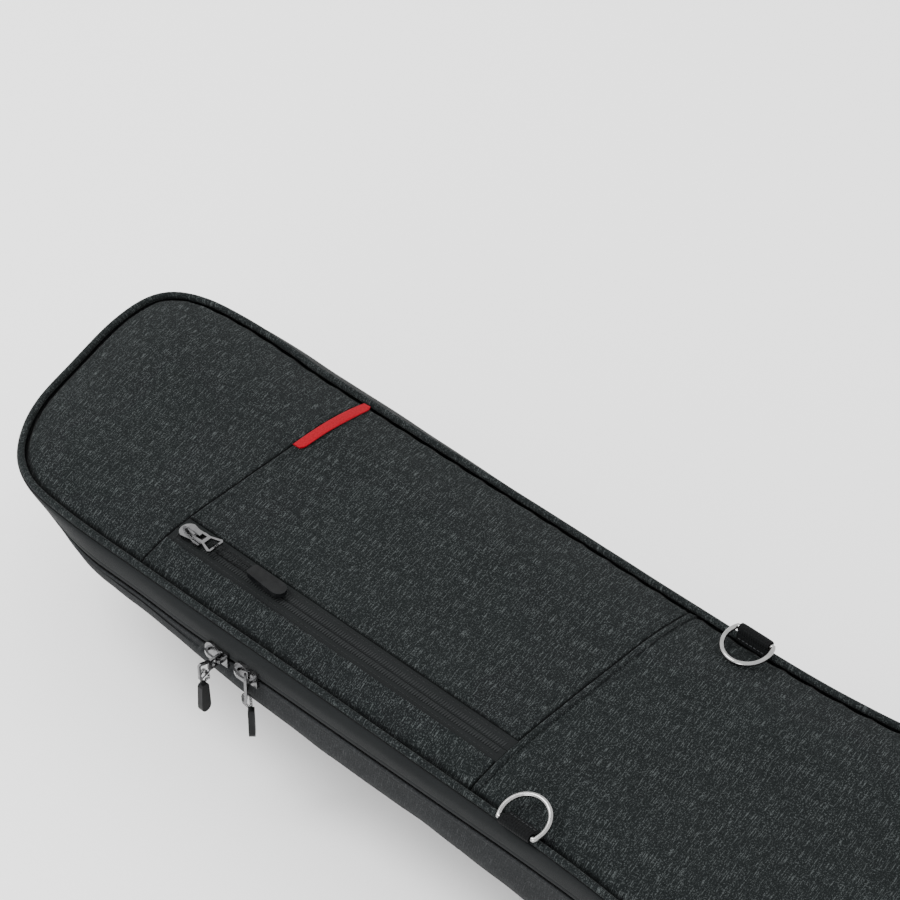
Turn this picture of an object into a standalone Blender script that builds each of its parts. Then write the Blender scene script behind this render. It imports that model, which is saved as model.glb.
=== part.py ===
"""A padded gig bag for an electric guitar or bass, lying on its back with its lid closed.

+X runs from the neck end to the tail, +Z is up, and the main zip opens along the -Y side.
Lengths are written in millimetres along three bag coordinates, and turned into metres by place():
station is measured along the bag, side across it, and height above the seam of the front piping.
"""

import math

import bmesh
import bpy
import numpy as np
from mathutils import Matrix, Vector

MM = 0.001

# Frame
ORIGIN_STATION = 528.7
FRONT_HEIGHT = 121.0
GAP = 0.35
LAYER_GAP = 0.9
EDGE_GAP = 1.5

# Outline of the piping seam
NECK_HALF = 95.0
BODY_HALF = 190.0
TAIL_STATION = 920.0
TAIL_LENGTH = 150.0
TAIL_SQUARENESS = 2.5
HEAD_JOIN = 100.0
HEAD_POINTS = [
    (100, -95), (60, -91.8), (40, -84), (25, -71.5), (7, -42), (-5, 2),
    (-15, 45), (-14, 77), (5, 92), (45, 97), (100, 96),
]
HALF_WIDTHS = [
    (100, 95), (430, 95), (490, 96.2), (556, 102), (620, 121), (690, 150), (760, 171),
    (840, 185), (920, 190),
]

SIDE_STATIONS = [100, 124, 150, 190, 225, 260, 295, 330, 400, 445, 490, 523, 556, 588, 620, 655, 690,
                 725, 760, 800, 840, 880, 920]

# Depth of the bag below the seam, the round of its lower edge and the slack of its walls
DEPTHS = [(-25, 33), (40, 34.5), (100, 38), (190, 43), (260, 51.5), (330, 58.5), (400, 60),
          (445, 64), (520, 82), (600, 106), (680, 112), (1080, 112)]
ROUNDS = [(-25, 22), (100, 20), (190, 20), (330, 26), (445, 29), (600, 38), (1080, 38)]
UPRIGHT = 20.6
TUCK = 0.5
TUCK_STATIONS = (50.0, 125.0)
TUCK_SIDES = (-60.0, -15.0)
NEAR_SLACK = [(0, -2.5), (60, 0), (150, 0.5), (205, 2), (400, 1.5), (540, 0)]
FAR_SLACK = [(-20, -3.5), (60, 4), (110, 5.6), (200, 4.6), (290, 2.6), (340, 0.5), (400, 0)]

# Shell layers, as distances outward from the seam and heights from it
SKIN = 1.2
WALL = 6.0
PIPING_RADIUS = 2.3
ZIP_HEIGHT = -17.0
SLIT_HALF = 0.8
TAPE_HALF_WIDTH = 5.0
TAPE = 0.7
COIL = 1.8
TAPE_OUT = 4.1
FOAM_OUT = 1.0
FOAM_IN = -7.0
CROWN = 8.0
CROWN_REACH = 55.0
LID_FOAM = 8.0
BACK_FOAM = 8.0
LINING = 1.0
POCKET_SPACE = 2.6
LID_EDGE = -2.0
LID_STACK = 14.0

# Front panel divisions
HEAD_SEAM = 150.0
POCKET_SEAM = 412.0
STRIP_SIDES = (-72.0, -54.0)
BODY_ZIP = 700.0
BODY_ZIP_HALF = 9.0
LABEL = (32.0, 93.0)

# Inside the tray
CRADLE = (305.0, 365.0)
TAIL_BLOCK_END = 1030.0

# Stretch where a tape hinges the lid, and the guard round the tail
HINGE_STATIONS = (830.0, 990.0)
GUARD_STATION = 1030.0
GUARD_HEIGHTS = (-30.0, -70.0)
GUARD = 2.0

# Zip hardware
SLIDER_PLATE = 2.2
PIVOT_AHEAD = 3.6
PIVOT_RISE = 3.6
LINK_LENGTH = 17.0
LINK_WIDTH = 13.0
LINK_THICKNESS = 1.5
END_BAR = 1.2
RAIL = (10.8, 4.35)
CORD_RADIUS = 0.9
GRIP_HALF = 1.9
MAIN_PULL = (9.5, 22.0, 7.0)
POCKET_PULL = (28.0, 28.0, 10.0)
PULL_DROOP = 3.2
SWING_A = 90.0
TURN_B = 43.0
HANG_B = (3.5, -5.65, 2.15)
SLIDER_A = 224.0
SLIDER_B = 248.0
POCKET_SLIDER = 163.0
BODY_POCKET_SIDE = -100.0

# Carrying straps
STRAP_PAD = 8.6

# D-rings
RING_WIRE = 1.55
RING_RADIUS = 14.7
RING_CHORD = 7.0
TAB_WIDTH = 22.5
WEBBING = 1.3


def place(station, side, height):
    """Bag coordinates in millimetres to the part's frame in metres."""
    return Vector((station - ORIGIN_STATION, side, height + FRONT_HEIGHT)) * MM


def smooth_curve(points):
    """A monotone cubic through (x, y) points, flat at both ends."""
    xs = np.array([p[0] for p in points], float)
    ys = np.array([p[1] for p in points], float)
    steps = np.diff(xs)
    slopes = np.diff(ys) / steps
    tangents = np.zeros(len(xs))
    for i in range(1, len(xs) - 1):
        if slopes[i - 1] * slopes[i] > 0:
            w1 = 2 * steps[i] + steps[i - 1]
            w2 = steps[i] + 2 * steps[i - 1]
            tangents[i] = (w1 + w2) / (w1 / slopes[i - 1] + w2 / slopes[i])

    def value(x):
        x = min(max(x, xs[0]), xs[-1])
        i = min(int(np.searchsorted(xs, x, side="right")) - 1, len(xs) - 2)
        t = (x - xs[i]) / steps[i]
        a = (1 + 2 * t) * (1 - t) ** 2 * ys[i] + t * (1 - t) ** 2 * steps[i] * tangents[i]
        b = t * t * (3 - 2 * t) * ys[i + 1] + t * t * (t - 1) * steps[i] * tangents[i + 1]
        return a + b

    return value


half_width = smooth_curve(HALF_WIDTHS)
depth = smooth_curve(DEPTHS)
round_of = smooth_curve(ROUNDS)
near_slack = smooth_curve(NEAR_SLACK)
far_slack = smooth_curve(FAR_SLACK)


def slack(station, side):
    """How far the soft wall leans out past its stitched line."""
    return near_slack(station) if side < 0 else far_slack(station)


def tuck(station, side):
    """How far the wall leans in for each millimetre down, at the near corner of the head."""
    full, none = TUCK_STATIONS
    along = min(max((none - station) / (none - full), 0.0), 1.0)
    full, none = TUCK_SIDES
    across = min(max((none - side) / (none - full), 0.0), 1.0)
    return TUCK * along * along * (3 - 2 * along) * across * across * (3 - 2 * across)


def through(points, per_span):
    """Points of a Catmull-Rom curve through an open list of points."""
    pts = [Vector(p) for p in points]
    pts = [2 * pts[0] - pts[1]] + pts + [2 * pts[-1] - pts[-2]]
    curve = []
    for i in range(1, len(pts) - 2):
        a, b, c, d = pts[i - 1:i + 3]
        for step in range(per_span):
            t = step / per_span
            curve.append(0.5 * (2 * b + (c - a) * t + (2 * a - 5 * b + 4 * c - d) * t ** 2
                                + (3 * b - a - 3 * c + d) * t ** 3))
    return curve + [pts[-2]]


def tail_points(count):
    """The rounded tail from the -Y side to the +Y side."""
    found = []
    for angle in np.linspace(-math.pi / 2, math.pi / 2, count + 1):
        reach = abs(math.cos(angle)) ** (2 / TAIL_SQUARENESS)
        across = math.copysign(abs(math.sin(angle)) ** (2 / TAIL_SQUARENESS), angle)
        found.append((TAIL_STATION + TAIL_LENGTH * reach, BODY_HALF * across))
    return found


def seam_outline(stations, tail_count, per_span):
    """The piping seam as a closed line of (station, side), counter-clockwise from above."""
    right = [(s, -half_width(s)) for s in stations]
    left = [(s, half_width(s)) for s in stations[::-1]]
    head = [tuple(p) for p in through(HEAD_POINTS, per_span)[::-1]]
    return np.array(right + tail_points(tail_count)[1:-1] + left + head[1:-1])


class Outline:
    """The seam outline: a dense line for measuring, and the samples that the walls are made at."""

    def __init__(self):
        self.dense = seam_outline(list(range(int(HEAD_JOIN), int(TAIL_STATION) + 1, 4)), 160, 14)
        ahead = np.roll(self.dense, -1, 0) - np.roll(self.dense, 1, 0)
        ahead /= np.linalg.norm(ahead, axis=1)[:, None]
        self.normals = np.stack([ahead[:, 1], -ahead[:, 0]], 1)
        self.points = seam_outline(SIDE_STATIONS, 14, 3)

    def normal_at(self, point):
        apart = np.hypot(*(self.dense - point).T)
        return self.normals[int(np.argmin(apart))]

    def samples(self, keep=None):
        """(point, normal) of each sample, or of the run of samples that keep() accepts."""
        found = [(p, self.normal_at(p)) for p in self.points]
        if keep is None:
            return found
        flags = [keep(*point) for point, _ in found]
        start = next(i for i in range(len(found)) if flags[i] and not flags[i - 1])
        run = []
        while flags[start % len(found)] and len(run) < len(found):
            run.append(found[start % len(found)])
            start += 1
        return run

    def offset(self, distance):
        """The sampled outline moved outward by distance, a number or a function of station."""
        shift = distance if callable(distance) else lambda s, y: distance
        return np.array([p + n * shift(*p) for p, n in self.samples()])

    def clearance(self, station, side):
        """Distance inward from the seam to a point of the front."""
        return float(np.min(np.hypot(self.dense[:, 0] - station, self.dense[:, 1] - side)))


OUTLINE = Outline()


def crown_at(station, side):
    """Height of the padded front above its seam."""
    inside = min(OUTLINE.clearance(station, side) / CROWN_REACH, 1.0)
    return CROWN * (1 - (1 - inside) ** 2.2)


def clear_scene():
    for obj in list(bpy.data.objects):
        bpy.data.objects.remove(obj, do_unlink=True)


def material(name, colour, roughness, metallic=0.0):
    found = bpy.data.materials.new(name)
    found.use_nodes = True
    shader = found.node_tree.nodes["Principled BSDF"]
    shader.inputs["Base Color"].default_value = (*colour, 1.0)
    shader.inputs["Roughness"].default_value = roughness
    shader.inputs["Metallic"].default_value = metallic
    found.diffuse_color = (*colour, 1.0)
    return found


FINISHES = {
    "heather_fabric": ((0.043, 0.052, 0.053), 0.85, 0.0),
    "smooth_fabric": ((0.022, 0.027, 0.028), 0.7, 0.0),
    "zip_tape": ((0.018, 0.021, 0.022), 0.75, 0.0),
    "foam": ((0.05, 0.05, 0.05), 0.95, 0.0),
    "plush": ((0.09, 0.09, 0.1), 0.95, 0.0),
    "red_label": ((0.75, 0.03, 0.025), 0.6, 0.0),
    "webbing": ((0.012, 0.012, 0.013), 0.7, 0.0),
    "steel": ((0.62, 0.62, 0.62), 0.25, 1.0),
    "nickel": ((0.33, 0.33, 0.34), 0.3, 1.0),
    "rubber": ((0.012, 0.012, 0.013), 0.55, 0.0),
}


def finish_object(name, mesh_source, slot, centre=None):
    """Writes a bmesh to an object with its own material, its origin at centre in metres."""
    bmesh.ops.remove_doubles(mesh_source, verts=mesh_source.verts, dist=2e-6)
    bmesh.ops.recalc_face_normals(mesh_source, faces=mesh_source.faces)
    if centre is not None:
        bmesh.ops.translate(mesh_source, vec=-centre, verts=mesh_source.verts)
    mesh = bpy.data.meshes.new(name)
    mesh_source.to_mesh(mesh)
    mesh_source.free()
    mesh.shade_smooth()
    mesh.set_sharp_from_angle(angle=math.radians(40))
    obj = bpy.data.objects.new(name, mesh)
    if centre is not None:
        obj.location = centre
    colour, roughness, metallic = FINISHES[slot]
    mesh.materials.append(material(name + "_finish", colour, roughness, metallic))
    bpy.context.scene.collection.objects.link(obj)
    return obj


def skin_loops(mesh, loops, closed):
    """Joins a row of equal loops of points into a tube, capped unless it closes on itself."""
    rows = [[mesh.verts.new(p) for p in loop] for loop in loops]
    spans = len(rows) if closed else len(rows) - 1
    for i in range(spans):
        a, b = rows[i], rows[(i + 1) % len(rows)]
        for k in range(len(a)):
            n = (k + 1) % len(a)
            mesh.faces.new((a[k], a[n], b[n], b[k]))
    if not closed:
        mesh.faces.new(rows[0][::-1])
        mesh.faces.new(rows[-1])


def wall_ring(name, slot, profile, keep=None, slumps=True):
    """A band that follows the outline. profile(station) gives its (outward, height) points."""
    mesh = bmesh.new()
    loops = []
    for point, normal in OUTLINE.samples(keep):
        loop = []
        for outward, height in profile(point[0]):
            if slumps:
                outward += slack(*point) + tuck(*point) * height
            at = point + normal * outward
            loop.append(place(at[0], at[1], height))
        loops.append(loop)
    skin_loops(mesh, loops, keep is None)
    return finish_object(name, mesh, slot)


def rectangle(out, inside, top, bottom):
    return [(out, top), (out, bottom), (inside, bottom), (inside, top)]


def side_layer(out, inside, out_drop, in_drop, top, steps=3):
    """Profile of one layer of the side wall: down from top, then round the lower edge.

    out and inside are the layer's faces, and the drops are how far each stays off the back.
    """
    def profile(station):
        low = depth(station)
        radius = min(round_of(station), low - UPRIGHT)
        turn = -(low - radius)
        end = WALL - round_of(station)
        faces = []
        for face, drop in ((out, out_drop), (inside, in_drop)):
            line = [(face, top)]
            for k in range(steps + 1):
                angle = math.pi / 2 * k / steps
                across = face - (face - end) * (1 - math.cos(angle))
                line.append((across, turn - (radius - drop) * math.sin(angle)))
            faces.append(line)
        return faces[0] + faces[1][::-1]

    return profile


def edge_lookup(line):
    """The two sides of a closed outline as functions of station, and its end stations."""
    first, last = int(np.argmin(line[:, 0])), int(np.argmax(line[:, 0]))
    turned = np.roll(line, -first, 0)
    span = (last - first) % len(line)
    low, high = turned[:span + 1], np.vstack([turned[span:], turned[:1]])[::-1]

    def low_side(s):
        return float(np.interp(s, low[:, 0], low[:, 1]))

    def high_side(s):
        return float(np.interp(s, high[:, 0], high[:, 1]))

    return low_side, high_side, line[first, 0], line[last, 0]


def stations_between(start, end, round_start=False, round_end=False, every=1):
    """The samples' stations from start to end, with more where the outline closes."""
    marks = [s for s in SIDE_STATIONS[::every] if start + 4 < s < end - 4]
    if round_start:
        marks += [start + step for step in (0.6, 3.0, 9.0, 20.0, 38.0, 68.0)]
    else:
        marks.append(start)
    if round_end:
        tail = [s for s, side in tail_points(14) if side > 0 and s > TAIL_STATION + 4]
        marks += [s for s in tail if s < end - 3] + [end - 2.0, end - 0.4]
    else:
        marks.append(end)
    return sorted(marks)


def plate(name, slot, stations, low_side, high_side, columns, top, bottom):
    """A sheet between two edges. top and bottom give its height at (station, side)."""
    mesh = bmesh.new()
    loops = []
    for s in stations:
        low, high = low_side(s), high_side(s)
        sides = [low + (high - low) * c for c in columns]
        upper = [place(s, y, top(s, y)) for y in sides]
        lower = [place(s, y, bottom(s, y)) for y in sides[::-1]]
        loops.append(upper + lower)
    rows = [[mesh.verts.new(p) for p in loop] for loop in loops]
    for a, b in zip(rows, rows[1:]):
        for k in range(len(a)):
            n = (k + 1) % len(a)
            mesh.faces.new((a[k], a[n], b[n], b[k]))
    for row in (rows[0], rows[-1]):
        count = len(columns)
        for k in range(count - 1):
            mesh.faces.new((row[k], row[k + 1], row[-2 - k], row[-1 - k]))
    return finish_object(name, mesh, slot)


def eased(count):
    """Fractions from 0 to 1, closer together near both ends."""
    return [0.5 - 0.5 * math.cos(math.pi * k / count) for k in range(count + 1)]


def prism(mesh, outline, low, high, frame):
    """A flat outline of (u, v) points made solid from low to high, placed by frame."""
    bottom = [mesh.verts.new(frame @ (Vector((u, v, low)) * MM)) for u, v in outline]
    top = [mesh.verts.new(frame @ (Vector((u, v, high)) * MM)) for u, v in outline]
    mesh.faces.new(bottom[::-1])
    mesh.faces.new(top)
    for k in range(len(outline)):
        n = (k + 1) % len(outline)
        mesh.faces.new((bottom[k], bottom[n], top[n], top[k]))


def thick_path(points, thickness):
    """The outline of a strip of even thickness that follows a line of (u, v) points."""
    pts = [Vector(p) for p in points]
    sides = ([], [])
    for i, p in enumerate(pts):
        before = (p - pts[i - 1]).normalized() if i else None
        after = (pts[i + 1] - p).normalized() if i + 1 < len(pts) else None
        way = ((before or after) + (after or before)).normalized()
        normal = Vector((-way.y, way.x))
        bend = 1.0 if before is None or after is None else max(0.6, normal.dot(
            Vector((-after.y, after.x))))
        shift = normal * (thickness / 2 / bend)
        sides[0].append(p + shift)
        sides[1].append(p - shift)
    return [tuple(p) for p in sides[0] + sides[1][::-1]]


def arc(centre, radius, start, end, count):
    """Points of an arc from angle start to end, in degrees."""
    angles = [math.radians(start + (end - start) * k / count) for k in range(count + 1)]
    return [(centre[0] + radius * math.cos(a), centre[1] + radius * math.sin(a))
            for a in angles]


def axes_frame(origin, u, v):
    """A placing matrix with its origin in metres and its first two axes along u and v."""
    u = Vector(u).normalized()
    v = Vector(v).normalized()
    w = u.cross(v)
    turned = Matrix((u, v, w)).transposed().to_4x4()
    return Matrix.Translation(origin) @ turned


def tube(name, slot, points, radius, sides, closed=False, centre=None):
    """A round rod along points in metres."""
    mesh = bmesh.new()
    pts = [Vector(p) for p in points]
    count = len(pts)
    loops = []
    normal = None
    for i, p in enumerate(pts):
        if closed:
            way = (pts[(i + 1) % count] - pts[i - 1]).normalized()
        else:
            way = (pts[min(i + 1, count - 1)] - pts[max(i - 1, 0)]).normalized()
        if normal is None:
            normal = way.orthogonal().normalized()
        normal = (normal - way * normal.dot(way)).normalized()
        other = way.cross(normal)
        loops.append([p + (normal * math.cos(t) + other * math.sin(t)) * radius * MM
                      for t in (2 * math.pi * k / sides for k in range(sides))])
    skin_loops(mesh, loops, closed)
    return finish_object(name, mesh, slot, centre)


def cut(obj, cutter):
    """Removes cutter from obj, and keeps the cutter as a hidden helper."""
    cutter.hide_render = True
    cutter.display_type = "WIRE"
    change = obj.modifiers.new("cut_" + cutter.name, "BOOLEAN")
    change.operation = "DIFFERENCE"
    change.object = cutter


def add(obj, piece):
    """Joins piece to obj as one body, and keeps it as a hidden helper."""
    piece.hide_render = True
    piece.display_type = "WIRE"
    change = obj.modifiers.new("add_" + piece.name, "BOOLEAN")
    change.operation = "UNION"
    change.object = piece


def make_front():
    """The lid's outer panels, its zip strips and its label."""
    low, high, first, last = edge_lookup(OUTLINE.offset(-0.6))

    def top(s, y):
        return crown_at(s, y)

    def bottom(s, y):
        return crown_at(s, y) - SKIN

    across = eased(8)
    head = stations_between(first, HEAD_SEAM - GAP / 2, round_start=True)
    plate("head_panel", "heather_fabric", head, low, high, across, top, bottom)
    neck = stations_between(HEAD_SEAM + GAP / 2, POCKET_SEAM - GAP / 2, every=3)
    inner, outer = STRIP_SIDES[1] + GAP, STRIP_SIDES[0] - GAP
    wide = [0, 0.04, 0.15, 0.35, 0.6, 0.78, 0.9, 0.97, 1]
    plate("neck_panel", "heather_fabric", neck, lambda s: inner, high, wide, top, bottom)
    plate("neck_panel_edge", "heather_fabric", neck, low, lambda s: outer, eased(4), top,
          bottom)
    front = stations_between(POCKET_SEAM + GAP / 2, BODY_ZIP - BODY_ZIP_HALF - GAP)
    plate("body_panel_front", "heather_fabric", front, low, high, across, top, bottom)
    rear = stations_between(BODY_ZIP + BODY_ZIP_HALF + GAP, last, round_end=True)
    plate("body_panel_rear", "heather_fabric", rear, low, high, across, top, bottom)
    zip_strip_along("pocket_zip", neck)
    zip_strip_across("body_zip", low, high)
    pocket = stations_between(HEAD_SEAM + 4, POCKET_SEAM - 4, every=3)
    plate("pocket_lining", "plush", pocket, lambda s: STRIP_SIDES[1] + 6,
          lambda s: high(s) - 4, wide, lambda s, y: crown_at(s, y) - SKIN - GAP,
          lambda s, y: crown_at(s, y) - SKIN - GAP - 0.7)
    make_label()


def zip_strip_along(name, stations):
    """The neck pocket's zip: two tapes that meet in the middle, with the coil below."""
    middle = sum(STRIP_SIDES) / 2
    for part, edge, way in (("inner", STRIP_SIDES[1], -1), ("outer", STRIP_SIDES[0], 1)):
        mesh = bmesh.new()
        loops = []
        for s in stations:
            loop = []
            for y, drop in zip_profile(edge, middle - way * GAP / 2, way):
                loop.append(place(s, y, crown_at(s, y) - drop))
            loops.append(loop)
        skin_loops(mesh, loops, False)
        finish_object(f"{name}_{part}", mesh, "zip_tape")


def zip_profile(edge, meeting, way):
    """A tape half in section, as (across, depth): flat, with its coil under the edge."""
    top, low = 0.3, 0.3 + TAPE
    return [(edge, top), (meeting, top), (meeting, low + COIL), (meeting - way * COIL, low + COIL),
            (meeting - way * COIL, low), (edge, low)]


def zip_strip_across(name, low, high):
    """The body pocket's zip, across the bag."""
    for part, way in (("front", 1), ("rear", -1)):
        mesh = bmesh.new()
        loops = []
        edge = BODY_ZIP - way * BODY_ZIP_HALF
        for c in eased(8):
            loop = []
            for s, drop in zip_profile(edge, BODY_ZIP - way * GAP / 2, way):
                y = low(s) + (high(s) - low(s)) * c
                loop.append(place(s, y, crown_at(s, y) - drop))
            loops.append(loop)
        skin_loops(mesh, loops, False)
        finish_object(f"{name}_{part}", mesh, "zip_tape")


def make_label():
    """A plain woven tab, sewn into the head seam and lying on the neck panel."""
    mesh = bmesh.new()
    loops = []
    for k in range(7):
        y = LABEL[0] + (LABEL[1] - LABEL[0]) * k / 6
        near, far = HEAD_SEAM + 0.8, HEAD_SEAM + 8.2
        if k in (0, 6):
            far -= 2.0
        loop = []
        for s, rise in ((near, 1.3), (far, 1.3), (far, GAP), (near, GAP)):
            loop.append(place(s, y, crown_at(s, y) + rise))
        loops.append(loop)
    skin_loops(mesh, loops, False)
    finish_object("label_tab", mesh, "red_label")


def off_hinge(station, side):
    """True away from the stretch where the lid is hinged and has no zip."""
    return not (side > 0 and HINGE_STATIONS[0] < station < HINGE_STATIONS[1])


def make_lid_walls():
    """Piping, band, zip and padding of the lid."""
    ring = [(PIPING_RADIUS + PIPING_RADIUS * math.cos(a), PIPING_RADIUS * math.sin(a))
            for a in (math.pi / 3 * k for k in range(6))]
    wall_ring("front_piping", "heather_fabric", lambda s: ring, slumps=False)
    bottom = ZIP_HEIGHT + SLIT_HALF
    wall_ring("lid_band", "smooth_fabric",
              lambda s: rectangle(WALL, WALL - SKIN, -PIPING_RADIUS - GAP, bottom))
    wall_ring("lid_zip", "zip_tape", lambda s: zip_section(1), off_hinge)
    top = -SKIN - LID_FOAM - LINING - 3 * LAYER_GAP
    wall_ring("lid_rim_foam", "foam",
              lambda s: rectangle(FOAM_OUT, FOAM_IN + 1, top, ZIP_HEIGHT + 0.9))
    low, high, first, last = edge_lookup(
        OUTLINE.offset(lambda s, y: LID_EDGE - LID_STACK * tuck(s, y)))
    spots = stations_between(first, last, round_start=True, round_end=True, every=2)
    under = SKIN + LAYER_GAP

    def layer(drop):
        return lambda s, y: crown_at(s, y) - drop

    plate("lid_foam", "foam", spots, low, high, eased(8), layer(under + POCKET_SPACE),
          layer(under + LID_FOAM))
    plate("lid_lining", "plush", spots, low, high, eased(8),
          layer(under + LID_FOAM + LAYER_GAP),
          layer(under + LID_FOAM + LAYER_GAP + LINING))


def zip_section(way):
    """Section of one half of the main zip. way is 1 above the zip line and -1 below it."""
    meeting = ZIP_HEIGHT + way * GAP / 2
    edge = ZIP_HEIGHT + way * TAPE_HALF_WIDTH
    inner = TAPE_OUT - TAPE
    points = [(TAPE_OUT, edge), (TAPE_OUT, meeting), (inner - COIL, meeting),
              (inner - COIL, meeting + way * COIL), (inner, meeting + way * COIL), (inner, edge)]
    return points


def make_tray():
    """The back shell: skins, padding, lining and what is fixed inside it."""
    top = ZIP_HEIGHT - SLIT_HALF
    wall_ring("tray_gusset", "heather_fabric", side_layer(WALL, WALL - SKIN, 0, SKIN, top, 4))
    wall_ring("tray_zip", "zip_tape", lambda s: zip_section(-1), off_hinge)
    wall_ring("hinge_tape", "smooth_fabric",
              lambda s: rectangle(TAPE_OUT, TAPE_OUT - SKIN, ZIP_HEIGHT - GAP, ZIP_HEIGHT - 6.0),
              lambda station, side: not off_hinge(station, side))
    foam_top = ZIP_HEIGHT - 1.0
    foam_low = SKIN + LAYER_GAP
    foam_high = foam_low + BACK_FOAM
    wall_ring("side_foam", "foam", side_layer(FOAM_OUT, FOAM_IN, foam_low, foam_high, foam_top))
    wall_ring("side_lining", "plush",
              side_layer(FOAM_IN - LAYER_GAP, FOAM_IN - LAYER_GAP - LINING, foam_high + LAYER_GAP,
                         foam_high + LAYER_GAP + LINING, foam_top))

    def rim(s, y):
        return WALL - round_of(s) + slack(s, y) - tuck(s, y) * depth(s) - EDGE_GAP

    low, high, first, last = edge_lookup(OUTLINE.offset(rim))
    spots = stations_between(first, last, round_start=True, round_end=True)

    def level(rise):
        return lambda s, y: rise - depth(s)

    cols = [0, 0.25, 0.5, 0.75, 1]
    plate("back_panel", "smooth_fabric", spots, low, high, cols, level(SKIN), level(0))
    plate("back_foam", "foam", spots, low, high, cols, level(foam_high), level(foam_low))
    plate("back_lining", "plush", spots, low, high, cols,
          level(foam_high + LAYER_GAP + LINING), level(foam_high + LAYER_GAP))


def floor_at(station):
    """Height of the lining's top face over the back."""
    return SKIN + BACK_FOAM + LINING + 2 * LAYER_GAP - depth(station)


def make_fittings():
    """Neck cradle, neck strap and tail block, all inside the tray."""
    mesh = bmesh.new()
    start, end = CRADLE
    top = floor_at(start) + GAP + 20
    shape = [(70, 0), (34, 0), (26, -12), (-26, -12), (-34, 0), (-70, 0)]
    loops = []
    for s in (start, (start + end) / 2, end):
        foot = floor_at(s) + GAP
        loops.append([place(s, -70, foot), place(s, 70, foot)]
                     + [place(s, y, top + z) for y, z in shape])
    skin_loops(mesh, loops, False)
    finish_object("neck_cradle", mesh, "foam")
    mesh = bmesh.new()
    top += GAP
    frame = axes_frame(place(start + 11, 0, 0), (0, 1, 0), (0, 0, 1))
    path = [(-66, top + 0.8), (-40, top + 0.8), (0, top + 2.4), (40, top + 0.8),
            (66, top + 0.8)]
    prism(mesh, thick_path(path, 1.6), 0, 38, frame)
    finish_object("neck_strap", mesh, "webbing")
    mesh = bmesh.new()
    end = TAIL_BLOCK_END
    rise = floor_at(end) + GAP
    outline = [(end - 36, -95), (end - 36, 95), (end - 12, 95), (end, 60), (end, -60),
               (end - 12, -95)]
    prism(mesh, [(s - ORIGIN_STATION, y) for s, y in outline], rise + FRONT_HEIGHT,
          rise + FRONT_HEIGHT + 60, Matrix.Identity(4))
    finish_object("tail_block", mesh, "foam")


def make_outside_tray():
    """The tail guard, the handles and the carrying straps."""
    near = WALL + GAP
    wall_ring("tail_guard", "rubber",
              lambda s: rectangle(near + GUARD, near, *GUARD_HEIGHTS),
              lambda station, side: station > GUARD_STATION)
    make_side_handle()
    make_grab_handle()
    for name, way in (("left", -1), ("right", 1)):
        make_shoulder_strap(name, way)


def make_side_handle():
    """A webbing handle on the hinge side, where the bag balances, with a moulded grip."""
    wall = edge_lookup(OUTLINE.offset(WALL + 0.7))[1]

    ends = [(572, wall(572) + 1.0), (590, wall(590) + 1.0)]
    far = [(698, wall(698) + 1.0), (716, wall(716) + 1.0)]
    middle = [(606, wall(606) + 13), (622, wall(622) + 24), (645, wall(645) + 29),
              (668, wall(668) + 25), (684, wall(684) + 14)]
    line = [(p.x, p.y) for p in through(ends + middle + far, 3)]
    line = [(s - ORIGIN_STATION, max(y, wall(s) + 1.0)) for s, y in line]
    mesh = bmesh.new()
    high = FRONT_HEIGHT - 30
    prism(mesh, thick_path(line, 1.8), high - 30, high, Matrix.Identity(4))
    finish_object("side_handle", mesh, "webbing")
    grip = [(s, y) for s, y in line if 618 < s + ORIGIN_STATION < 672]
    make_sleeve("side_handle_grip", grip, 2.4, 2.2, high - 34, high + 4, Matrix.Identity(4))


def make_sleeve(name, line, inside, wall, low, high, frame):
    """A flat sleeve round a strap: a rounded section with a slot for the webbing."""
    outer = thick_path(line, inside + 2 * wall)
    mesh = bmesh.new()
    prism(mesh, outer, low, high, frame)
    sleeve = finish_object(name, mesh, "rubber")
    mesh = bmesh.new()
    first, second = Vector(line[0]), Vector(line[1])
    last, before = Vector(line[-1]), Vector(line[-2])
    longer = [first + (first - second).normalized() * 8] + [Vector(p) for p in line]
    longer.append(last + (last - before).normalized() * 8)
    prism(mesh, thick_path(longer, inside), low + 3.4, high - 3.4, frame)
    slot = finish_object(name + "_slot", mesh, "rubber")
    cut(sleeve, slot)


def make_grab_handle():
    """A webbing handle under the neck, for hanging the bag or lifting its neck."""
    def back(station):
        return -depth(station) - GAP

    ends = [(96, back(96) - 1.0), (118, back(118) - 1.0)]
    far = [(262, back(262) - 1.0), (284, back(284) - 1.0)]
    middle = [(138, back(138) - 12), (158, back(158) - 24), (190, back(190) - 27),
              (222, back(222) - 22), (242, back(242) - 12)]
    line = [(p.x, p.y) for p in through(ends + middle + far, 3)]
    line = [(s, min(z, back(s) - 1.0)) for s, z in line]
    frame = axes_frame(place(0, 0, 0), (1, 0, 0), (0, 0, 1))
    mesh = bmesh.new()
    prism(mesh, thick_path(line, 1.8), -15, 15, frame)
    finish_object("grab_handle", mesh, "webbing")
    grip = [(s, z) for s, z in line if 156 < s < 226]
    make_sleeve("grab_handle_grip", grip, 2.4, 2.2, -19, 19, frame)


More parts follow.
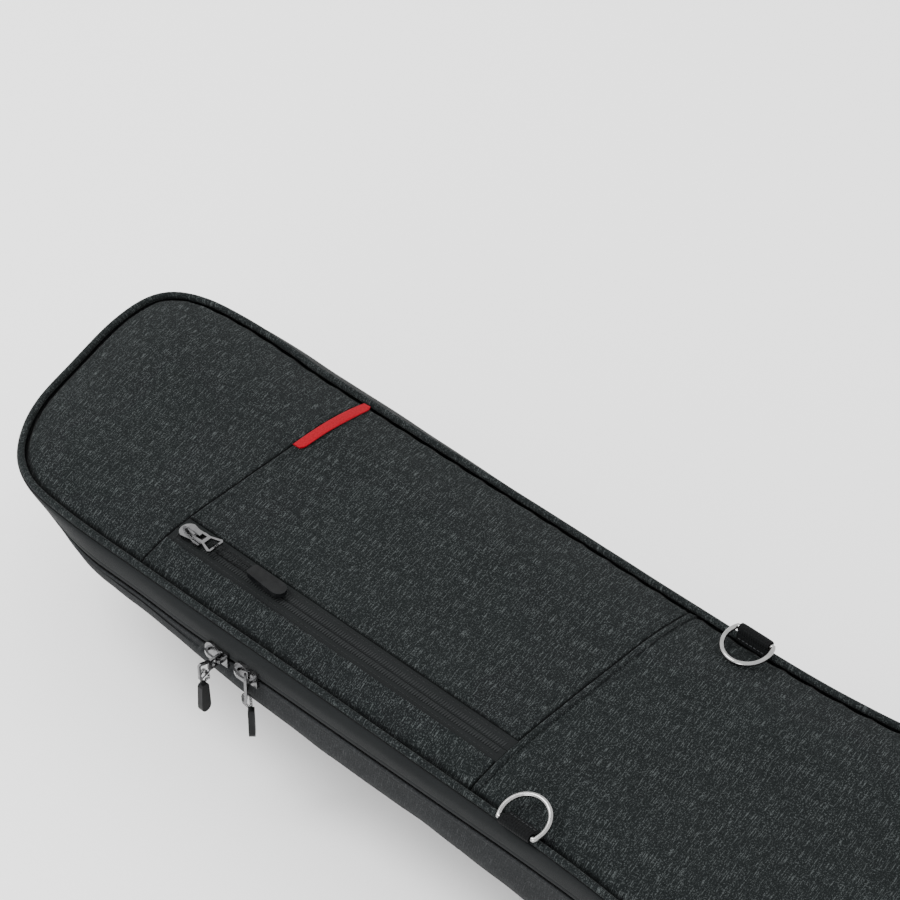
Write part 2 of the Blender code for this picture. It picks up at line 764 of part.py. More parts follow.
def make_shoulder_strap(name, way):
    """A padded strap under the body, its adjuster and its lower webbing."""
    def at(station):
        return way * (62 + (station - 640) * 0.12)

    mesh = bmesh.new()
    halves = [(622, 24), (632, 32), (650, 34), (900, 34), (925, 30), (940, 16)]
    outline = [(s - ORIGIN_STATION, at(s) - half) for s, half in halves]
    outline += [(s - ORIGIN_STATION, at(s) + half) for s, half in halves[::-1]]
    prism(mesh, outline, 0.0, STRAP_PAD, Matrix.Identity(4))
    finish_object(f"shoulder_strap_{name}", mesh, "webbing")
    centre = at(952)
    mesh = bmesh.new()
    prism(mesh, [(s - ORIGIN_STATION, centre + y) for s, y in
                 ((941, -17), (966, -17), (966, 17), (941, 17))], 2.0, 7.0, Matrix.Identity(4))
    buckle = finish_object(f"strap_buckle_{name}", mesh, "rubber")
    mesh = bmesh.new()
    prism(mesh, [(s - ORIGIN_STATION, centre + y) for s, y in
                 ((955, -13), (961, -13), (961, 13), (955, 13))], 1.0, 8.0, Matrix.Identity(4))
    cut(buckle, finish_object(f"strap_buckle_{name}_slot", mesh, "rubber"))
    mesh = bmesh.new()
    path = [(968, 5.0), (1000, 5.0), (1010, 7.8), (1026, 7.8)]
    frame = axes_frame(Vector((-ORIGIN_STATION, 0, 0)) * MM, (1, 0, 0), (0, 0, 1))
    prism(mesh, thick_path(path, 1.4), -centre - 12, -centre + 12, frame)
    finish_object(f"strap_webbing_{name}", mesh, "webbing")


def slider_plate(mesh, frame):
    """The slider's top plate: a rounded nose that narrows to a square tail."""
    nose = arc((-3.2, 0), 6.2, 255, 105, 10)
    tail = [(2.4, 4.6), (5.0, 5.4), (9.2, 5.2), (9.2, -5.2), (5.0, -5.4), (2.4, -4.6)]
    prism(mesh, (nose + tail)[::-1], 0, SLIDER_PLATE, frame)


def make_slider(name, origin, along, across):
    """A slider whose plate lies on the tape at origin. along is the way its pull lies flat.

    The link turns about a bar through its bail, PIVOT_AHEAD along and PIVOT_RISE off the tape.
    """
    frame = axes_frame(origin, along, across)
    mesh = bmesh.new()
    slider_plate(mesh, frame)
    body = finish_object(name, mesh, "nickel", origin)
    mesh = bmesh.new()
    up = frame.to_3x3() @ Vector((0, 0, 1))
    side = axes_frame(origin, along, up)
    path = [(-7.2, 1.8), (-6.0, 4.4), (-3.0, 5.7), (3.6, 5.7), (5.9, 4.9), (6.4, 1.4)]
    prism(mesh, thick_path(path, 1.5), -1.2, 1.2, side)
    add(body, finish_object(name + "_bail", mesh, "nickel", origin))
    return frame


def link_outline():
    """The link in outline: a narrow eye that opens to a wide end."""
    half = LINK_WIDTH / 2
    side = [(-1.0, 3.5), (7.0, 3.7), (11.0, 5.2), (LINK_LENGTH - 2.6, half),
            (LINK_LENGTH - 1.0, half - 1.2)]
    return [(u, -v) for u, v in side] + side[::-1]


def make_link(name, frame):
    """A cast link with an eye for the bail and a window for the cord. frame is at its pivot."""
    thin = LINK_THICKNESS / 2
    mesh = bmesh.new()
    prism(mesh, link_outline(), -thin, thin, frame)
    pivot = frame.translation.copy()
    link = finish_object(name, mesh, "nickel", pivot)
    far = LINK_LENGTH - 2 * END_BAR
    windows = {
        "eye": [(0.75, 2.1), (0.75, -2.1), (6.0, -2.1), (6.0, 2.1)],
        "window": [(8.4, 2.8), (8.4, -2.8), (far, -4.7), (far, 4.7)],
    }
    for window, outline in windows.items():
        mesh = bmesh.new()
        prism(mesh, outline, -3, 3, frame)
        cut(link, finish_object(f"{name}_{window}", mesh, "nickel"))
    return link


def make_cord_and_grip(name, start, along, across, cord, grip, width):
    """A doubled cord through the link's window, and its moulded grip.

    start is the middle of the bar that the cord turns round, in metres. cord and grip are
    lengths. The cord is wide enough round the bar to swing right over.
    """
    frame = axes_frame(start, along, across)
    thick = math.hypot(END_BAR, LINK_THICKNESS / 2) + CORD_RADIUS + GAP / 2
    apart = 2.6 / 2
    over, under = [], []
    for u in (2.5, 0.4 * cord, 0.7 * cord, cord):
        spread = apart * min(1.0, u / (0.4 * cord))
        over.append((u, spread, thick))
        way = u / cord
        under.append((u, -spread, thick * (2 * way * way * (3 - 2 * way) - 1)))
    turn = [(-thick + 0.6, 0, thick * 0.8), (-thick, 0, 0), (-thick + 0.6, 0, -thick * 0.8)]
    line = through(over[::-1] + turn + under, 2)
    tube(name + "_cord", "webbing", [frame @ (p * MM) for p in line], CORD_RADIUS, 6,
         centre=start)
    half = width / 2
    shape = [(cord + GAP, -half + 1.6), (cord + 2.0, -half + 0.7), (cord + grip * 0.7, -half)]
    shape += arc((cord + grip - half, 0), half, -90, 90, 6)
    shape += [(cord + grip * 0.7, half), (cord + 2.0, half - 0.7), (cord + GAP, half - 1.6)]
    mesh = bmesh.new()
    prism(mesh, shape, thick - GRIP_HALF, thick + GRIP_HALF, frame)
    finish_object(name + "_grip", mesh, "rubber", start)


def make_flat_pull(name, origin, along, across):
    """A slider with its link, cord and grip lying flat along the zip."""
    make_slider(name + "_slider", origin, along, across)
    frame = axes_frame(origin, along, across)
    up = frame.to_3x3() @ Vector((0, 0, 1))
    pivot = origin + (Vector(along) * PIVOT_AHEAD + up * PIVOT_RISE) * MM
    make_link(name + "_link", axes_frame(pivot, along, across))
    end = pivot + Vector(along) * (LINK_LENGTH - END_BAR) * MM
    droop = math.radians(PULL_DROOP)
    lying = Vector(along) * math.cos(droop) - up * math.sin(droop)
    make_cord_and_grip(name, end, lying, across, *POCKET_PULL)


def make_pulls():
    """The sliders and pulls of the two pockets and of the main zip."""
    middle = sum(STRIP_SIDES) / 2
    start = place(POCKET_SLIDER, middle, crown_at(POCKET_SLIDER, middle) + GAP)
    make_flat_pull("pocket", start, (1, 0, 0), (0, 1, 0))
    start = place(BODY_ZIP, BODY_POCKET_SIDE, crown_at(BODY_ZIP, 0) + GAP)
    make_flat_pull("body_pocket", start, (0, 1, 0), (-1, 0, 0))
    make_main_pulls()


def make_main_pulls():
    """The two sliders of the main zip, nose to nose, with their pulls hanging."""
    wall = -(NECK_HALF + WALL + near_slack(SLIDER_A) + GAP)
    down = Vector((0, 0, -1))
    origin = place(SLIDER_A, wall, ZIP_HEIGHT)
    make_slider("main_a_slider", origin, (1, 0, 0), (0, 0, 1))
    turn = math.radians(SWING_A)
    along = Vector((math.cos(turn), -math.sin(turn), 0))
    pivot = origin + Vector((PIVOT_AHEAD, -PIVOT_RISE, 0)) * MM
    make_link("main_a_link", axes_frame(pivot, along, (0, 0, 1)))
    end = pivot + (along * RAIL[0] + down * RAIL[1]) * MM
    make_cord_and_grip("main_a", end, down, along, *MAIN_PULL)
    origin = place(SLIDER_B, wall, ZIP_HEIGHT)
    make_slider("main_b_slider", origin, (1, 0, 0), (0, 0, 1))
    turn = math.radians(TURN_B)
    across = Vector((-math.sin(turn), math.cos(turn), 0))
    pivot = origin + Vector(HANG_B) * MM
    make_link("main_b_link", axes_frame(pivot, down, across))
    end = pivot + down * (LINK_LENGTH - END_BAR) * MM
    make_cord_and_grip("main_b", end, down, across, *MAIN_PULL)


def ring_line(bar, lean, way):
    """Centre line of a D-ring: a straight bar along X and a round bow."""
    spread = math.acos(RING_CHORD / RING_RADIUS)
    reach = Vector((0, way * math.cos(lean), math.sin(lean)))
    points = []
    for k in range(25):
        angle = spread + (2 * math.pi - 2 * spread) * k / 24
        across = RING_RADIUS * math.sin(angle)
        out = RING_CHORD - RING_RADIUS * math.cos(angle)
        points.append(bar + (Vector((across, 0, 0)) + reach * out) * MM)
    half = points[0].x - bar.x
    points.extend(bar + Vector((half * f, 0, 0)) for f in (-0.6, 0.0, 0.6))
    return points


def make_d_ring(name, station, side, height, lean, way, root):
    """A D-ring and the webbing tab that holds it to the lid's seam. way is +1 inward from -Y."""
    bar = place(station, side, height)
    line = ring_line(bar, math.radians(lean), way)
    tube(name, "steel", line, RING_WIRE, 8, closed=True, centre=bar)
    inner = RING_WIRE + GAP + WEBBING / 2
    foot = Vector(root)
    middle = Vector((side, height))
    down = (foot - middle).normalized()
    facing = math.degrees(math.atan2(down.y, down.x))
    loop = arc(middle, inner, facing + 32, facing + 328, 12)
    across = Vector((-down.y, down.x)) * (WEBBING / 2 + 0.12)
    path = [tuple(foot + across)] + loop + [tuple(foot - across)]
    mesh = bmesh.new()
    frame = axes_frame(place(station, 0, 0), (0, 1, 0), (0, 0, 1))
    prism(mesh, thick_path(path, WEBBING), -TAB_WIDTH / 2, TAB_WIDTH / 2, frame)
    finish_object(name + "_tab", mesh, "webbing")


def main():
    clear_scene()
    make_front()
    make_lid_walls()
    make_tray()
    make_fittings()
    make_outside_tray()
    make_pulls()
    make_d_ring("d_ring_near", 452.9, -100.9, 5.4, 18.7, 1, (-93.6, 2.9))
    make_d_ring("d_ring_far", 457.5, 96.3, 9.5, -6.5, -1, (93.2, 2.0))


main()
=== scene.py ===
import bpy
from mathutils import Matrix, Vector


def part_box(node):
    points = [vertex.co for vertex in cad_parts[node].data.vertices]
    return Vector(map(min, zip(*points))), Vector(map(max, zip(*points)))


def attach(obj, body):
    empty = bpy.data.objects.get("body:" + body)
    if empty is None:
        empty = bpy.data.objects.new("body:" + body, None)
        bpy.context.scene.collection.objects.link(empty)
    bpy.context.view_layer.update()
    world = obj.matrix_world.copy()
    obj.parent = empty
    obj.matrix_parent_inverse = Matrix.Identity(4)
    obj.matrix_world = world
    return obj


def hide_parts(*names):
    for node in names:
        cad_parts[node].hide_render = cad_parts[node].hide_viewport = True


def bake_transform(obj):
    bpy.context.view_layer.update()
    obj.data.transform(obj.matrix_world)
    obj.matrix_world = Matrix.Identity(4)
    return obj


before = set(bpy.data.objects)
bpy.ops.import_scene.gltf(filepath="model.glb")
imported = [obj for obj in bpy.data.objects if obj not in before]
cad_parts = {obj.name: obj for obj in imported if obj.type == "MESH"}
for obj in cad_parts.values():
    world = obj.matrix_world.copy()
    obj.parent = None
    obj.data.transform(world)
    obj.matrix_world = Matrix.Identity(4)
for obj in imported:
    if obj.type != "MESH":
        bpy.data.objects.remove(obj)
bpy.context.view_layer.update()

import math

import bpy
import numpy as np
from mathutils import Vector

MM = 0.001

# Bag coordinates: station along the bag, side across it, height above the piping seam, all in mm.
HEAD_SEAM = 150.0
GAP = 0.35
ORIGIN_STATION = HEAD_SEAM + GAP / 2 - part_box("neck_panel")[0].x / MM
FRONT_HEIGHT = (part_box("front_piping")[0].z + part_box("front_piping")[1].z) / 2 / MM

# The seam's outline and the walls under it, as in the frame
BODY_HALF = 190.0
TAIL_STATION = 920.0
TAIL_LENGTH = 150.0
TAIL_SQUARENESS = 2.5
HEAD_JOIN = 100
HEAD_POINTS = [
    (100, -95), (60, -91.8), (40, -84), (25, -71.5), (7, -42), (-5, 2),
    (-15, 45), (-14, 77), (5, 92), (45, 97), (100, 96),
]
HALF_WIDTHS = [
    (100, 95), (430, 95), (490, 96.2), (556, 102), (620, 121), (690, 150), (760, 171),
    (840, 185), (920, 190),
]
DEPTHS = [(-25, 33), (40, 34.5), (100, 38), (190, 43), (260, 51.5), (330, 58.5), (400, 60),
          (445, 64), (520, 82), (600, 106), (680, 112), (1080, 112)]
ROUNDS = [(-25, 22), (100, 20), (190, 20), (330, 26), (445, 29), (600, 38), (1080, 38)]
UPRIGHT = 20.6
TUCK = 0.5
NEAR_SLACK = [(0, -2.5), (60, 0), (150, 0.5), (205, 2), (400, 1.5), (540, 0)]
FAR_SLACK = [(-20, -3.5), (60, 4), (110, 5.6), (200, 4.6), (290, 2.6), (340, 0.5), (400, 0)]
WALL = 6.0
PIPING_RADIUS = 2.3
ZIP_HEIGHT = -17.0
CROWN = 8.0
CROWN_REACH = 55.0
POCKET_SEAM = 412.0
STRIP_SIDES = (-72.0, -54.0)
BODY_ZIP = 700.0
BODY_ZIP_HALF = 9.0
HINGE_STATIONS = (830.0, 990.0)
SEAM_SPACING = 4.0

# Sewing and zip teeth: pitch, length, width and height
STITCH = (3.2, 2.3, 0.5, 0.4)
SEAM_STITCH = (3.2, 2.3, 0.45, 0.35)
TAPE_STITCH = (3.2, 2.2, 0.45, 0.35)
WALL_STITCH = (3.2, 2.2, 0.45, 0.4)
TAB_STITCH = (2.8, 2.0, 0.45, 0.4)
COIL_TOOTH = (1.8, 4.0, 0.95, 0.55)
MAIN_TOOTH = (1.9, 1.3, 1.1, 1.3)
PRESSURE = 3.0
HEM_WIDTH = 5.6
TAPE = 0.7
QUILT_PITCH = 62
QUILT_DEPTH = 0.9

# Hardware and webbing
RING_WIRE = 1.55
RING_RADIUS = 14.7
RING_CHORD = 7.0
TAB_WIDTH = 22.5
WEBBING = 1.3
HANDLE_WEBBING = (30, 1.8)
HANDLE_GRIP = (38, 7.0)
HANDLE_REST = 1.6
BACK_REST = 1.0

# The setting: a floor, a white world, and lights as (name, spot, aim, diameter, watts)
FLOOR_REACH = 12.0
FLOOR_DROP = 0.0005
FLOOR_TONE = 0.93
WORLD_STRENGTH = 2.0
LIGHTS = (("key", (-1.5, -0.9, 2.5), (-0.2, 0, 0.1), 1.2, 70),
          ("fill", (0.3, -2.4, 0.9), (-0.2, 0, 0.1), 1.0, 26))

# Camera, as the photo was taken
VIEW_AZIMUTH = 43.07
VIEW_ELEVATION = 42.65
VIEW_DISTANCE = 2.258
VIEW_TARGET = (216.6, 99.6, 0.0)
LENS = 149.8
SENSOR = 36.0

# Finishes
SLUB_TURN = 11.0
WAVE_PERIOD = math.pi / 10


def place(station, side, height):
    """Bag coordinates in millimetres to the frame in metres."""
    return Vector((station - ORIGIN_STATION, side, height + FRONT_HEIGHT)) * MM


def make_camera():
    """A camera at the photo's angle, aimed at a point of the front."""
    azimuth, elevation = math.radians(VIEW_AZIMUTH), math.radians(VIEW_ELEVATION)
    away = Vector((math.sin(azimuth) * math.cos(elevation),
                   -math.cos(azimuth) * math.cos(elevation), math.sin(elevation)))
    data = bpy.data.cameras.new("camera")
    data.lens = LENS
    data.sensor_width = SENSOR
    camera = bpy.data.objects.new("camera", data)
    camera.location = place(*VIEW_TARGET) + away * VIEW_DISTANCE
    camera.rotation_euler = away.to_track_quat("Z", "Y").to_euler()
    bpy.context.scene.collection.objects.link(camera)
    bpy.context.scene.camera = camera


def smooth_curve(points):
    """A monotone cubic through (x, y) points, flat at both ends, for arrays."""
    xs = np.array([p[0] for p in points], float)
    ys = np.array([p[1] for p in points], float)
    steps = np.diff(xs)
    slopes = np.diff(ys) / steps
    tangents = np.zeros(len(xs))
    for i in range(1, len(xs) - 1):
        if slopes[i - 1] * slopes[i] > 0:
            w1 = 2 * steps[i] + steps[i - 1]
            w2 = steps[i] + 2 * steps[i - 1]
            tangents[i] = (w1 + w2) / (w1 / slopes[i - 1] + w2 / slopes[i])

    def value(x):
        x = np.clip(np.asarray(x, float), xs[0], xs[-1])
        i = np.clip(np.searchsorted(xs, x, side="right") - 1, 0, len(xs) - 2)
        t = (x - xs[i]) / steps[i]
        a = (1 + 2 * t) * (1 - t) ** 2 * ys[i] + t * (1 - t) ** 2 * steps[i] * tangents[i]
        b = t * t * (3 - 2 * t) * ys[i + 1] + t * t * (t - 1) * steps[i] * tangents[i + 1]
        return a + b

    return value


half_width = smooth_curve(HALF_WIDTHS)
depth = smooth_curve(DEPTHS)
round_of = smooth_curve(ROUNDS)
near_slack = smooth_curve(NEAR_SLACK)
far_slack = smooth_curve(FAR_SLACK)


def slack(station, side):
    """How far the soft wall leans out past its stitched line."""
    return np.where(np.asarray(side) < 0, near_slack(station), far_slack(station))


def eased(t):
    """A smooth step from 0 to 1."""
    t = np.clip(t, 0.0, 1.0)
    return t * t * (3 - 2 * t)


def tuck(station, side):
    """How far the wall leans in for each millimetre down, at the near corner of the head."""
    return TUCK * eased((125 - np.asarray(station)) / 75) * eased((-np.asarray(side) - 15) / 45)


def through(points, per_span):
    """Points of a Catmull-Rom curve through an open list of points."""
    pts = [Vector(p) for p in points]
    pts = [2 * pts[0] - pts[1]] + pts + [2 * pts[-1] - pts[-2]]
    curve = []
    for i in range(1, len(pts) - 2):
        a, b, c, d = pts[i - 1:i + 3]
        for step in range(per_span):
            t = step / per_span
            curve.append(0.5 * (2 * b + (c - a) * t + (2 * a - 5 * b + 4 * c - d) * t ** 2
                                + (3 * b - a - 3 * c + d) * t ** 3))
    return curve + [pts[-2]]


def wobble(x, y, z, wave, seed):
    """Smooth, seeded unevenness between about -1 and 1, with features about wave mm long."""
    rng = np.random.default_rng(seed)
    total = 0.0
    for _ in range(7):
        way = rng.normal(size=3)
        way /= np.linalg.norm(way)
        turn = 2 * math.pi / (wave * rng.uniform(0.7, 1.7))
        total = total + np.sin((x * way[0] + y * way[1] + z * way[2]) * turn
                               + rng.uniform(0, 2 * math.pi))
    return total / 3.2


class Seam:
    """The piping seam as evenly spaced points, with outward normals."""

    def __init__(self, spacing):
        stations = np.arange(HEAD_JOIN, TAIL_STATION + 1, 4.0)
        near = np.stack([stations, -half_width(stations)], 1)
        far = np.stack([stations, half_width(stations)], 1)[::-1]
        angles = np.linspace(-math.pi / 2, math.pi / 2, 161)[1:-1]
        power = 2 / TAIL_SQUARENESS
        tail = np.stack([TAIL_STATION + TAIL_LENGTH * np.cos(angles) ** power,
                         BODY_HALF * np.sign(angles) * abs(np.sin(angles)) ** power], 1)
        head = np.array([tuple(p) for p in through(HEAD_POINTS, 14)[::-1]])[1:-1]
        line = np.vstack([near, tail, far, head])
        line = np.vstack([line, line[:1]])
        run = np.concatenate([[0], np.cumsum(np.hypot(*np.diff(line, axis=0).T))])
        self.length = run[-1]
        count = int(self.length / spacing)
        marks = np.arange(count) * self.length / count
        points = np.stack([np.interp(marks, run, line[:, k]) for k in (0, 1)], 1)
        for _ in range(6):
            points = (np.roll(points, 1, 0) + 2 * points + np.roll(points, -1, 0)) / 4
        ahead = np.roll(points, -1, 0) - np.roll(points, 1, 0)
        ahead /= np.linalg.norm(ahead, axis=1)[:, None]
        self.points = points
        self.normals = np.stack([ahead[:, 1], -ahead[:, 0]], 1)

    def offset(self, distance):
        return self.points + self.normals * np.reshape(distance, (-1, 1))

    def clearance(self, stations, sides):
        """Distance inward from the seam to points of the front."""
        spots = np.stack([np.ravel(stations), np.ravel(sides)], 1)
        found = np.empty(len(spots))
        batch = 4000
        for start in range(0, len(spots), batch):
            part = spots[start:start + batch]
            apart = np.hypot(part[:, None, 0] - self.points[None, :, 0],
                             part[:, None, 1] - self.points[None, :, 1])
            found[start:start + batch] = apart.min(1)
        return found.reshape(np.shape(stations))


SEAM = Seam(SEAM_SPACING)


def crown(clearance):
    """How far the padding lifts the front, from the distance inward from the seam."""
    inside = np.clip(clearance / CROWN_REACH, 0, 1)
    return CROWN * (1 - (1 - inside) ** 2.2)


def front_at(station, side):
    """Height of the plain padded front at one point."""
    return float(crown(SEAM.clearance(np.array([station]), np.array([side])))[0])


def edge_lookup(line):
    """The two sides of a closed outline as functions of station, and its end stations."""
    first, last = int(np.argmin(line[:, 0])), int(np.argmax(line[:, 0]))
    turned = np.roll(line, -first, 0)
    span = (last - first) % len(line)
    low, high = turned[:span + 1], np.vstack([turned[span:], turned[:1]])[::-1]
    return (lambda s: np.interp(s, low[:, 0], low[:, 1]),
            lambda s: np.interp(s, high[:, 0], high[:, 1]), line[first, 0], line[last, 0])


# Materials

MATERIALS = {}


class Nodes:
    """A material's node tree, with short calls for the nodes that the finishes share."""

    def __init__(self, name, coords):
        self.material = bpy.data.materials.new(name)
        self.material.use_nodes = True
        self.tree = self.material.node_tree
        self.shader = self.tree.nodes["Principled BSDF"]
        self.coords = self.tree.nodes.new("ShaderNodeTexCoord").outputs[coords]

    def add(self, kind, **settings):
        node = self.tree.nodes.new(kind)
        for key, value in settings.items():
            setattr(node, key, value)
        return node

    def link(self, source, target):
        self.tree.links.new(source, target)

    def mapped(self, sizes, turn=0.0):
        """Coordinates in which features are sizes mm long, turned anticlockwise in degrees."""
        sizes = sizes if isinstance(sizes, tuple) else (sizes, sizes, sizes)
        node = self.add("ShaderNodeMapping", vector_type="TEXTURE")
        node.inputs["Rotation"].default_value = (0, 0, math.radians(turn))
        node.inputs["Scale"].default_value = [size * MM for size in sizes]
        self.link(self.coords, node.inputs["Vector"])
        return node.outputs["Vector"]

    def noise(self, sizes, turn=0.0, detail=2.0, roughness=0.5):
        node = self.add("ShaderNodeTexNoise")
        node.inputs["Scale"].default_value = 1.0
        node.inputs["Detail"].default_value = detail
        node.inputs["Roughness"].default_value = roughness
        self.link(self.mapped(sizes, turn), node.inputs["Vector"])
        return node.outputs["Fac"]

    def wave(self, pitch, direction="X", distortion=0.0):
        """Sine bands pitch mm apart."""
        node = self.add("ShaderNodeTexWave", bands_direction=direction, wave_profile="SIN")
        node.inputs["Scale"].default_value = 1.0
        node.inputs["Distortion"].default_value = distortion
        node.inputs["Detail Scale"].default_value = 3.0
        self.link(self.mapped(pitch / WAVE_PERIOD), node.inputs["Vector"])
        return node.outputs["Fac"]

    def ramp(self, source, low, high, start=0.0, end=1.0):
        node = self.add("ShaderNodeMapRange")
        node.inputs["From Min"].default_value = low
        node.inputs["From Max"].default_value = high
        node.inputs["To Min"].default_value = start
        node.inputs["To Max"].default_value = end
        self.link(source, node.inputs["Value"])
        return node.outputs["Result"]

    def sum(self, first, second, operation="ADD"):
        node = self.add("ShaderNodeMath", operation=operation)
        for k, value in enumerate((first, second)):
            if isinstance(value, (int, float)):
                node.inputs[k].default_value = value
            else:
                self.link(value, node.inputs[k])
        return node.outputs["Value"]

    def mix(self, factor, first, second):
        node = self.add("ShaderNodeMix", data_type="RGBA")
        self.link(factor, node.inputs["Factor"])
        for k, value in ((6, first), (7, second)):
            if isinstance(value, tuple):
                node.inputs[k].default_value = (*value, 1.0)
            else:
                self.link(value, node.inputs[k])
        return node.outputs[2]

    def bump(self, height, distance, strength=1.0):
        node = self.add("ShaderNodeBump")
        node.inputs["Distance"].default_value = distance
        node.inputs["Strength"].default_value = strength
        self.link(height, node.inputs["Height"])
        self.link(node.outputs["Normal"], self.shader.inputs["Normal"])

    def finish(self, colour, roughness, sheen=0.0, metallic=0.0, shine=0.5):
        """Wires colour and roughness in, the latter a number or a socket."""
        self.link(colour, self.shader.inputs["Base Color"])
        if isinstance(roughness, float):
            self.shader.inputs["Roughness"].default_value = roughness
        else:
            self.link(roughness, self.shader.inputs["Roughness"])
        self.shader.inputs["Metallic"].default_value = metallic
        self.shader.inputs["Specular IOR Level"].default_value = shine
        if sheen:
            self.shader.inputs["Sheen Weight"].default_value = sheen
            self.shader.inputs["Sheen Roughness"].default_value = 0.5
        return self.material


def weave_height(nodes, pitch):
    """A plain weave: two crossed sets of threads, pitch mm apart."""
    return nodes.sum(nodes.wave(pitch, "X", 0.6), nodes.wave(pitch, "Y", 0.6), "MULTIPLY")


def heather_fabric(name, dark, base, light, contrast):
    """Charcoal polyester with paler slub yarns, which run across the bag a little askew.

    Noise sizes are in mm along and across the bag. Each ramp's limits set how much of the cloth
    its dots, dashes or streaks cover, and how sharp they are.
    """
    n = Nodes(name, "UV")
    grain = n.noise((0.85, 1.0, 1.0), SLUB_TURN, 1.0)
    dots = n.ramp(grain, 0.585, 0.665)
    dashes = n.ramp(n.noise((0.6, 2.4, 3.0), SLUB_TURN, 1.0), 0.615, 0.69)
    broken = n.ramp(grain, 0.36, 0.56)
    streaks = n.ramp(n.noise((0.6, 9.0, 9.0), SLUB_TURN, 0.5), 0.612, 0.672)
    streaks = n.sum(streaks, broken, "MULTIPLY")
    patches = n.ramp(n.noise((7.0, 11.0, 9.0), 0, 2.0), 0.35, 0.65, 0.45, 1.0)
    shade = n.ramp(n.noise((0.8, 1.6, 1.6), SLUB_TURN, 1.0), 0.5, 0.34)
    tone = n.ramp(n.noise(40, 0, 2.0), 0.3, 0.7)
    colour = n.mix(tone, tuple(0.92 * c for c in base), tuple(1.08 * c for c in base))
    colour = n.mix(n.sum(shade, 0.75, "MULTIPLY"), colour, dark)
    flecks = n.sum(n.sum(dots, 0.8, "MULTIPLY"), n.sum(dashes, 0.7, "MULTIPLY"), "MAXIMUM")
    flecks = n.sum(n.sum(flecks, patches, "MULTIPLY"), n.sum(streaks, 0.9, "MULTIPLY"), "MAXIMUM")
    colour = n.mix(n.sum(flecks, contrast, "MULTIPLY"), colour, light)
    # Painted shade: the shade attribute darkens the groove by the piping and the sewn lines.
    shaded = n.add("ShaderNodeAttribute", attribute_name="shade").outputs["Fac"]
    colour = n.mix(shaded, colour, tuple(0.25 * c for c in dark))
    n.bump(n.sum(weave_height(n, 0.8), n.sum(flecks, 0.8, "MULTIPLY")), 0.00015, 0.7)
    return n.finish(colour, 0.86, 0.02, shine=0.06)


def plain_cloth(name, dark, light, pitch):
    """A smooth, closely woven cloth with slight changes of tone."""
    n = Nodes(name, "UV")
    tone = n.ramp(n.noise((26, 40, 40), 0, 3.0), 0.3, 0.7)
    grain = n.ramp(n.noise(0.8, 0, 1.0), 0.4, 0.65)
    colour = n.mix(tone, dark, light)
    colour = n.mix(n.sum(grain, 0.2, "MULTIPLY"), colour, tuple(2.2 * c for c in light))
    n.bump(weave_height(n, pitch), 0.00012, 0.6)
    return n.finish(colour, 0.78, 0.03, shine=0.1)


def ribbed_webbing():
    """Black woven webbing, ribbed along its length."""
    n = Nodes("webbing", "UV")
    ribs = n.wave(1.7, "Y")
    picks = n.wave(1.1, "X", 0.5)
    grain = n.ramp(n.noise((0.9, 0.5, 0.5), 0, 1.0), 0.4, 0.7)
    tone = n.mix(grain, (0.0014, 0.0016, 0.0018), (0.0055, 0.006, 0.0064))
    n.bump(n.sum(n.sum(ribs, 1.4, "MULTIPLY"), picks), 0.0002, 0.6)
    return n.finish(tone, 0.68, 0.01, shine=0.05)


def braided_cord():
    """Dark, finely braided cord."""
    n = Nodes("braided_cord", "Object")
    braid = n.noise(0.5, 0, 1.0)
    colour = n.mix(n.ramp(braid, 0.4, 0.65), (0.002, 0.0023, 0.0025), (0.008, 0.0088, 0.0092))
    n.bump(braid, 0.0002, 0.7)
    return n.finish(colour, 0.7, shine=0.1)


def plush():
    """Brushed lining."""
    n = Nodes("plush", "UV")
    pile = n.noise(1.1, 0, 3.0, 0.65)
    nap = n.ramp(n.noise((30, 55, 40), 20, 2.0), 0.3, 0.7)
    base = n.mix(nap, (0.040, 0.0405, 0.044), (0.062, 0.0625, 0.066))
    colour = n.mix(n.ramp(pile, 0.35, 0.7), base, (0.092, 0.093, 0.098))
    n.bump(pile, 0.0006, 0.6)
    return n.finish(colour, 0.95, 0.25, shine=0.1)


def label_cloth():
    """Red woven tape, with no text."""
    n = Nodes("red_label", "UV")
    twill = n.wave(0.9, "DIAGONAL")
    grain = n.ramp(n.noise((1.5, 0.7, 0.7), 0, 1.0), 0.35, 0.65)
    colour = n.mix(grain, (0.18, 0.0010, 0.0055), (0.24, 0.0026, 0.0095))
    n.bump(twill, 0.00012, 0.5)
    return n.finish(colour, 0.6, shine=0.06)


def moulded_rubber():
    """Matt black rubber."""
    n = Nodes("rubber", "Object")
    skin = n.noise(0.45, 0, 2.0)
    marks = n.ramp(n.noise(7, 0, 3.0), 0.35, 0.7)
    colour = n.mix(marks, (0.0022, 0.0025, 0.0028), (0.0058, 0.0063, 0.0066))
    n.bump(skin, 0.00006, 0.5)
    return n.finish(colour, n.ramp(marks, 0, 1, 0.38, 0.55), shine=0.12)


def cast_metal(name, colour, low, high, grain):
    """Plated metal, with slight wear in its polish."""
    n = Nodes(name, "Object")
    haze = n.noise(5, 0, 3.0)
    fine = n.noise(0.35, 0, 1.0)
    tint = n.mix(n.ramp(haze, 0.3, 0.7), tuple(0.75 * c for c in colour), colour)
    n.bump(fine, 0.00003, grain)
    return n.finish(tint, n.ramp(haze, 0.3, 0.7, low, high), metallic=1.0)


def speckled(name, size, dark, light, roughness):
    """A hard, dull stuff of two close tones: sewing thread or zip teeth."""
    n = Nodes(name, "Object")
    grain = n.ramp(n.noise(size, 0, 1.0), 0.35, 0.65)
    return n.finish(n.mix(grain, dark, light), roughness, shine=0.2)


